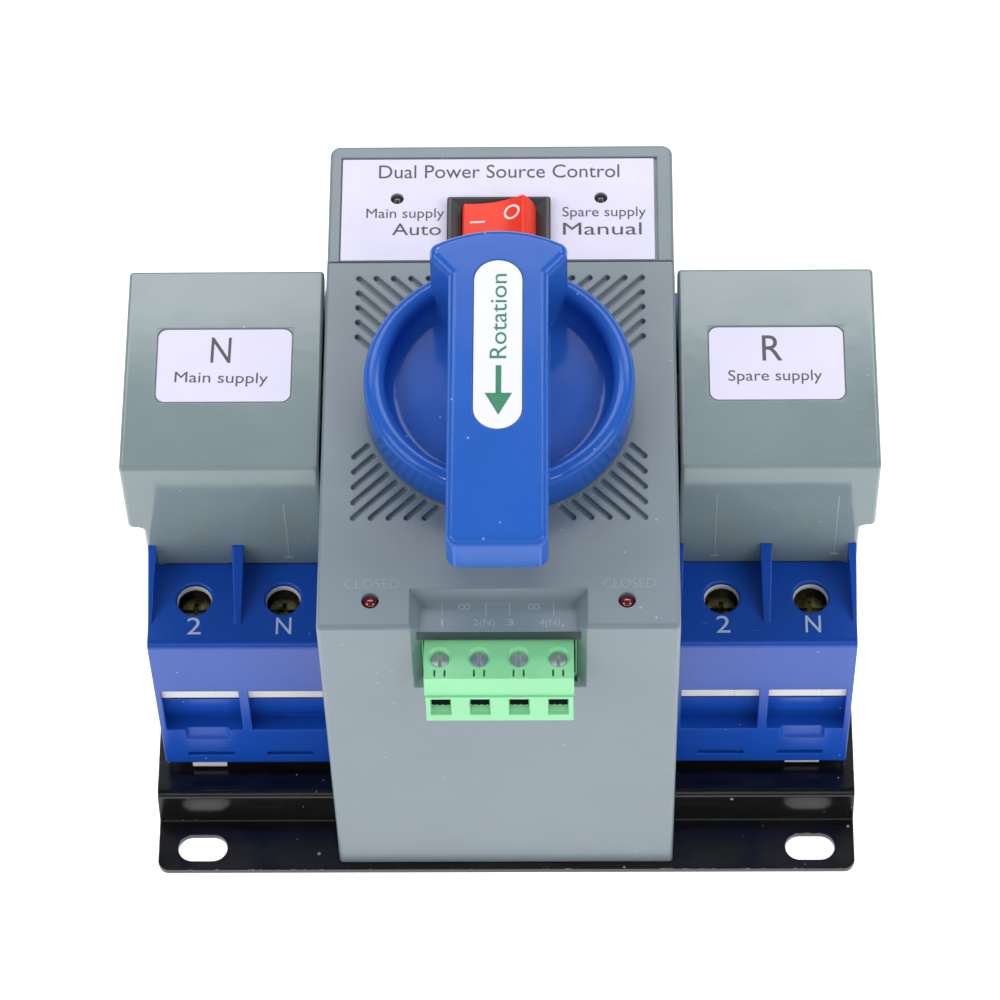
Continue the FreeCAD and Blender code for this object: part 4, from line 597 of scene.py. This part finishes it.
def mark_covers():
    """Captions of the two breaker cover labels."""
    for side, letter, words, slant in (("left", "N", "Main supply", -0.020),
                                       ("right", "R", "Spare supply", 0.004)):
        origin = middle_of(f"{side}_label")
        lettering(f"{side}_label_letter", letter, origin, -2.8, 1.2, 0.6, 6.0, "root", DARK_INK,
                  slant)
        lettering(f"{side}_label_words", words, origin, -9.7, 8.9, -4.1, 2.45, "root", DARK_INK,
                  slant)


def mark_tag():
    """Word that reads along the grip and the arrow that follows it."""
    origin = middle_of("handle_label")
    lettering("tag_word", "Rotation", origin, -3.4, 16.2, -1.65, 3.25, "handle_unit", GREEN_INK,
              math.pi / 2)
    arrow = prism([bar(-0.4, -11.4, 0.7, -5.0), [(-2.5, -11.3), (0.15, -16.3), (2.8, -11.3)]])
    lay("tag_arrow", arrow, Matrix.Translation(origin), INK_DEPTH, "handle_unit", GREEN_INK)


def mark_shrouds():
    """Terminal numbers on the tops of the blue shrouds."""
    for side in ("left", "right"):
        for way, first in (("near", "2"), ("far", "1")):
            origin = middle_of(f"{side}_{way}_shroud")
            low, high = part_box(f"{side}_{way}_shroud")
            outer = low.y if way == "near" else high.y
            origin.y = outer / MM + NUMERAL_BASES[way]
            origin.z = SHROUD_TOP
            for text, pole in ((first, -8.8), ("N", 9.3)):
                half = NUMERAL_HALVES[text]
                lettering(f"{side}_{way}_shroud_{text}", text, origin, pole - half, pole + half,
                          0.0, NUMERAL_CAP, "root", PALE_INK)


def mark_shelf():
    """Raised terminal numbers, ticks and pair signs on the shelf behind the plug, lighter than
    the case as painted highlight, and a dark sheet of painted shade on the front of the shelf's
    lip, which is a guess at a dark band there."""
    case_low, case_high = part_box("centre_case")
    origin = Vector(((case_low.x + case_high.x) / 2 / MM, case_low.y / MM, SHELF_TOP))
    for text, left, right in (("1", -11.15, -10.7), ("2(N)", -4.9, -0.8), ("3", 1.5, 2.9),
                              ("4(N)", 7.8, 11.8)):
        lettering(f"shelf_{text[0]}", text, origin, left, right, 2.5, 1.35, "root", RAISED_HIGHLIGHT_GREY,
                  depth=0.08)
    bottom, top = TICK_SPAN
    lines = [bar(x - TICK_HALF, bottom, x + TICK_HALF, top) for x in TICKS]
    for x in PAIR_SIGNS:
        for way in (-PAIR_HALF, PAIR_HALF):
            lines += ring(x + way, PAIR_Y, 0.6, 0.65, 0.2, 20)
    lay("shelf_lines", prism(lines), Matrix.Translation(origin), 0.07, "root", RAISED_HIGHLIGHT_GREY)
    front = Matrix.Translation((origin.x, -LIP_FRONT, origin.z)) @ UPRIGHT
    bottom, top = LIP_SPAN
    lay("shelf_lip_painted_shade", prism([bar(-LIP_HALF, bottom, LIP_HALF, top)]), front, PAINTED_SHADE_DEPTH,
        "root", PAINTED_SHADE_FACING)


def mark_case():
    """Faint moulded word above each closed-breaker lamp, lighter than the case as painted
    highlight.
    """
    origin = middle_of("closed_lamps")
    origin.z = middle_of("centre_case").z
    for name, left, right in (("left", -29.8, -19.2), ("right", 20.1, 30.3)):
        lettering(f"closed_word_{name}", "CLOSED", origin, left, right, 2.7, 2.1, "root",
                  FAINT_HIGHLIGHT_GREY, depth=0.05)


def drape(name, mesh, node, body, material):
    """Put a unit-deep mark, given in plan in millimetres, on the surface of a CAD node."""
    piece = frame["nodes"][node]
    tree = BVHTree.FromPolygons([piece.matrix_world @ point.co for point in piece.data.vertices],
                                [list(face.vertices) for face in piece.data.polygons])
    for point in mesh.vertices:
        above = Vector((point.co.x, point.co.y, 1000)) * MM
        place = tree.ray_cast(above, Vector((0, 0, -1)))[0]
        point.co.z = place.z / MM + point.co.z * INK_DEPTH
    lay(name, mesh, Matrix.Identity(4), 1.0, body, material)


def mark_rocker():
    """Bar and ring on the two halves of the rocker."""
    x, y, _ = middle_of("rocker_button")
    links = [bar(x - 5.8 + step * 0.5, y - 0.1, x - 5.3 + step * 0.5, y + 0.3) for step in range(6)]
    circle = ring(x + 2.6, y + 1.3, 1.6, 1.7, 0.42)
    for name, outlines in (("rocker_bar", links), ("rocker_ring", circle)):
        drape(name, prism(outlines), "rocker_button", "rocker_unit", WHITE_INK)


def box_mesh(blocks):
    """One mesh of rectangular blocks with lightly broken edges, each (low corner, high corner)."""
    build = bmesh.new()
    for low, high in blocks:
        middle = (Vector(low) + Vector(high)) / 2
        size = Vector(high) - Vector(low)
        made = bmesh.ops.create_cube(build, size=1.0)["verts"]
        for vertex in made:
            vertex.co = middle + Vector(part * side for part, side in zip(vertex.co, size))
        edges = {edge for vertex in made for edge in vertex.link_edges}
        bmesh.ops.bevel(build, geom=list(edges), offset=min(size) * 0.25, segments=2,
                        affect="EDGES", profile=0.5)
    mesh = bpy.data.meshes.new("blocks")
    build.to_mesh(mesh)
    build.free()
    return mesh


def cover_witness_lines():
    """Thin raised mould lines with a small foot, down the near face of each breaker cover, in a
    lighter grey that is painted highlight.
    """
    for side, lines in (("left", (("inner", 7.6, 86.2, 65.3),)),
                        ("right", (("inner", 7.4, 89.5, 65.4), ("outer", 31.6, 88.4, 66.0)))):
        low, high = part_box(f"{side}_cover")
        face = low.y / MM
        for name, inset, top, foot in lines:
            x = high.x / MM - inset if side == "left" else low.x / MM + inset
            sunk = face + LINE_SUNK
            blocks = [((x - LINE_HALF, face - 0.07, foot), (x + LINE_HALF, sunk, top)),
                      ((x - FOOT_HALF, face - 0.10, foot - 0.35),
                       (x + FOOT_HALF, sunk, foot + 0.25))]
            lay(f"{side}_cover_line_{name}", box_mesh(blocks), Matrix.Identity(4), 1.0, "root",
                RAISED_HIGHLIGHT_COVER)


def rounded_corner(x, y, way_x, way_y):
    """Outline that fills a square corner down to an arc, the corner being at (x, y)."""
    outline = [(x, y)]
    for step in range(CORNER_STEPS + 1):
        angle = math.pi / 2 * step / CORNER_STEPS
        outline.append((x - way_x * CORNER_RADIUS * (1 - math.sin(angle)),
                        y - way_y * CORNER_RADIUS * (1 - math.cos(angle))))
    return outline


def recess_corners():
    """Rounded corners of the sunk fields that hold the cover labels."""
    for side in ("left", "right"):
        low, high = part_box(f"{side}_label")
        middle, half = (low + high) / 2 / MM, (high - low) / 2 / MM
        corners = [rounded_corner(middle.x + way_x * (half.x + CORNER_GAP),
                                  middle.y + way_y * (half.y + CORNER_GAP), way_x, way_y)
                   for way_x in (-1, 1) for way_y in (-1, 1)]
        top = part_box(f"{side}_cover")[1].z / MM
        lay(f"{side}_recess_corners", prism(corners), Matrix.Translation((0, 0, top - CORNER_SUNK)),
            CORNER_DEPTH, "root", finishes["cover_grey"])


def dress_plug():
    """Inside of the plug's wire funnels: a toothed clamp edge in near-black painted shade over a
    pale green slope.
    """
    low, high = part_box("terminal_plug")
    middle, front, base = (low.x + high.x) / 2 / MM, low.y / MM, low.z / MM
    ways = [middle + (way - (PLUG_WAYS - 1) / 2) * PLUG_PITCH for way in range(PLUG_WAYS)]
    teeth = []
    for x in ways:
        edge = [(x + offset, height) for offset, height in TOOTH_EDGE]
        teeth.append([(edge[0][0], TOOTH_TOP), *edge, (edge[-1][0], TOOTH_TOP)])
    inside = Matrix.Translation((0, front + TOOTH_INSET, base)) @ UPRIGHT
    lay("plug_clamp_teeth", prism(teeth), inside, TOOTH_DEPTH, "plug_unit", PAINTED_SHADE_CLAMP)
    start, end = (front + inset for inset in SLOPE_SPAN)
    foot, top = (base + height for height in SLOPE_HEIGHTS)
    for way, x in enumerate(ways):
        across = Matrix(((0, 0, 1, x), (1, 0, 0, 0), (0, 1, 0, 0), (0, 0, 0, 1)))
        lay(f"plug_funnel_slope_{way}", prism([[(start, foot), (end, foot), (end, top)]]), across,
            SLOPE_WIDTH, "plug_unit", finishes["terminal_green"])


add_camera()
add_studio()
dress_nodes()
mark_panel()
mark_covers()
mark_tag()
mark_shrouds()
mark_shelf()
mark_case()
mark_rocker()
cover_witness_lines()
recess_corners()
dress_plug()
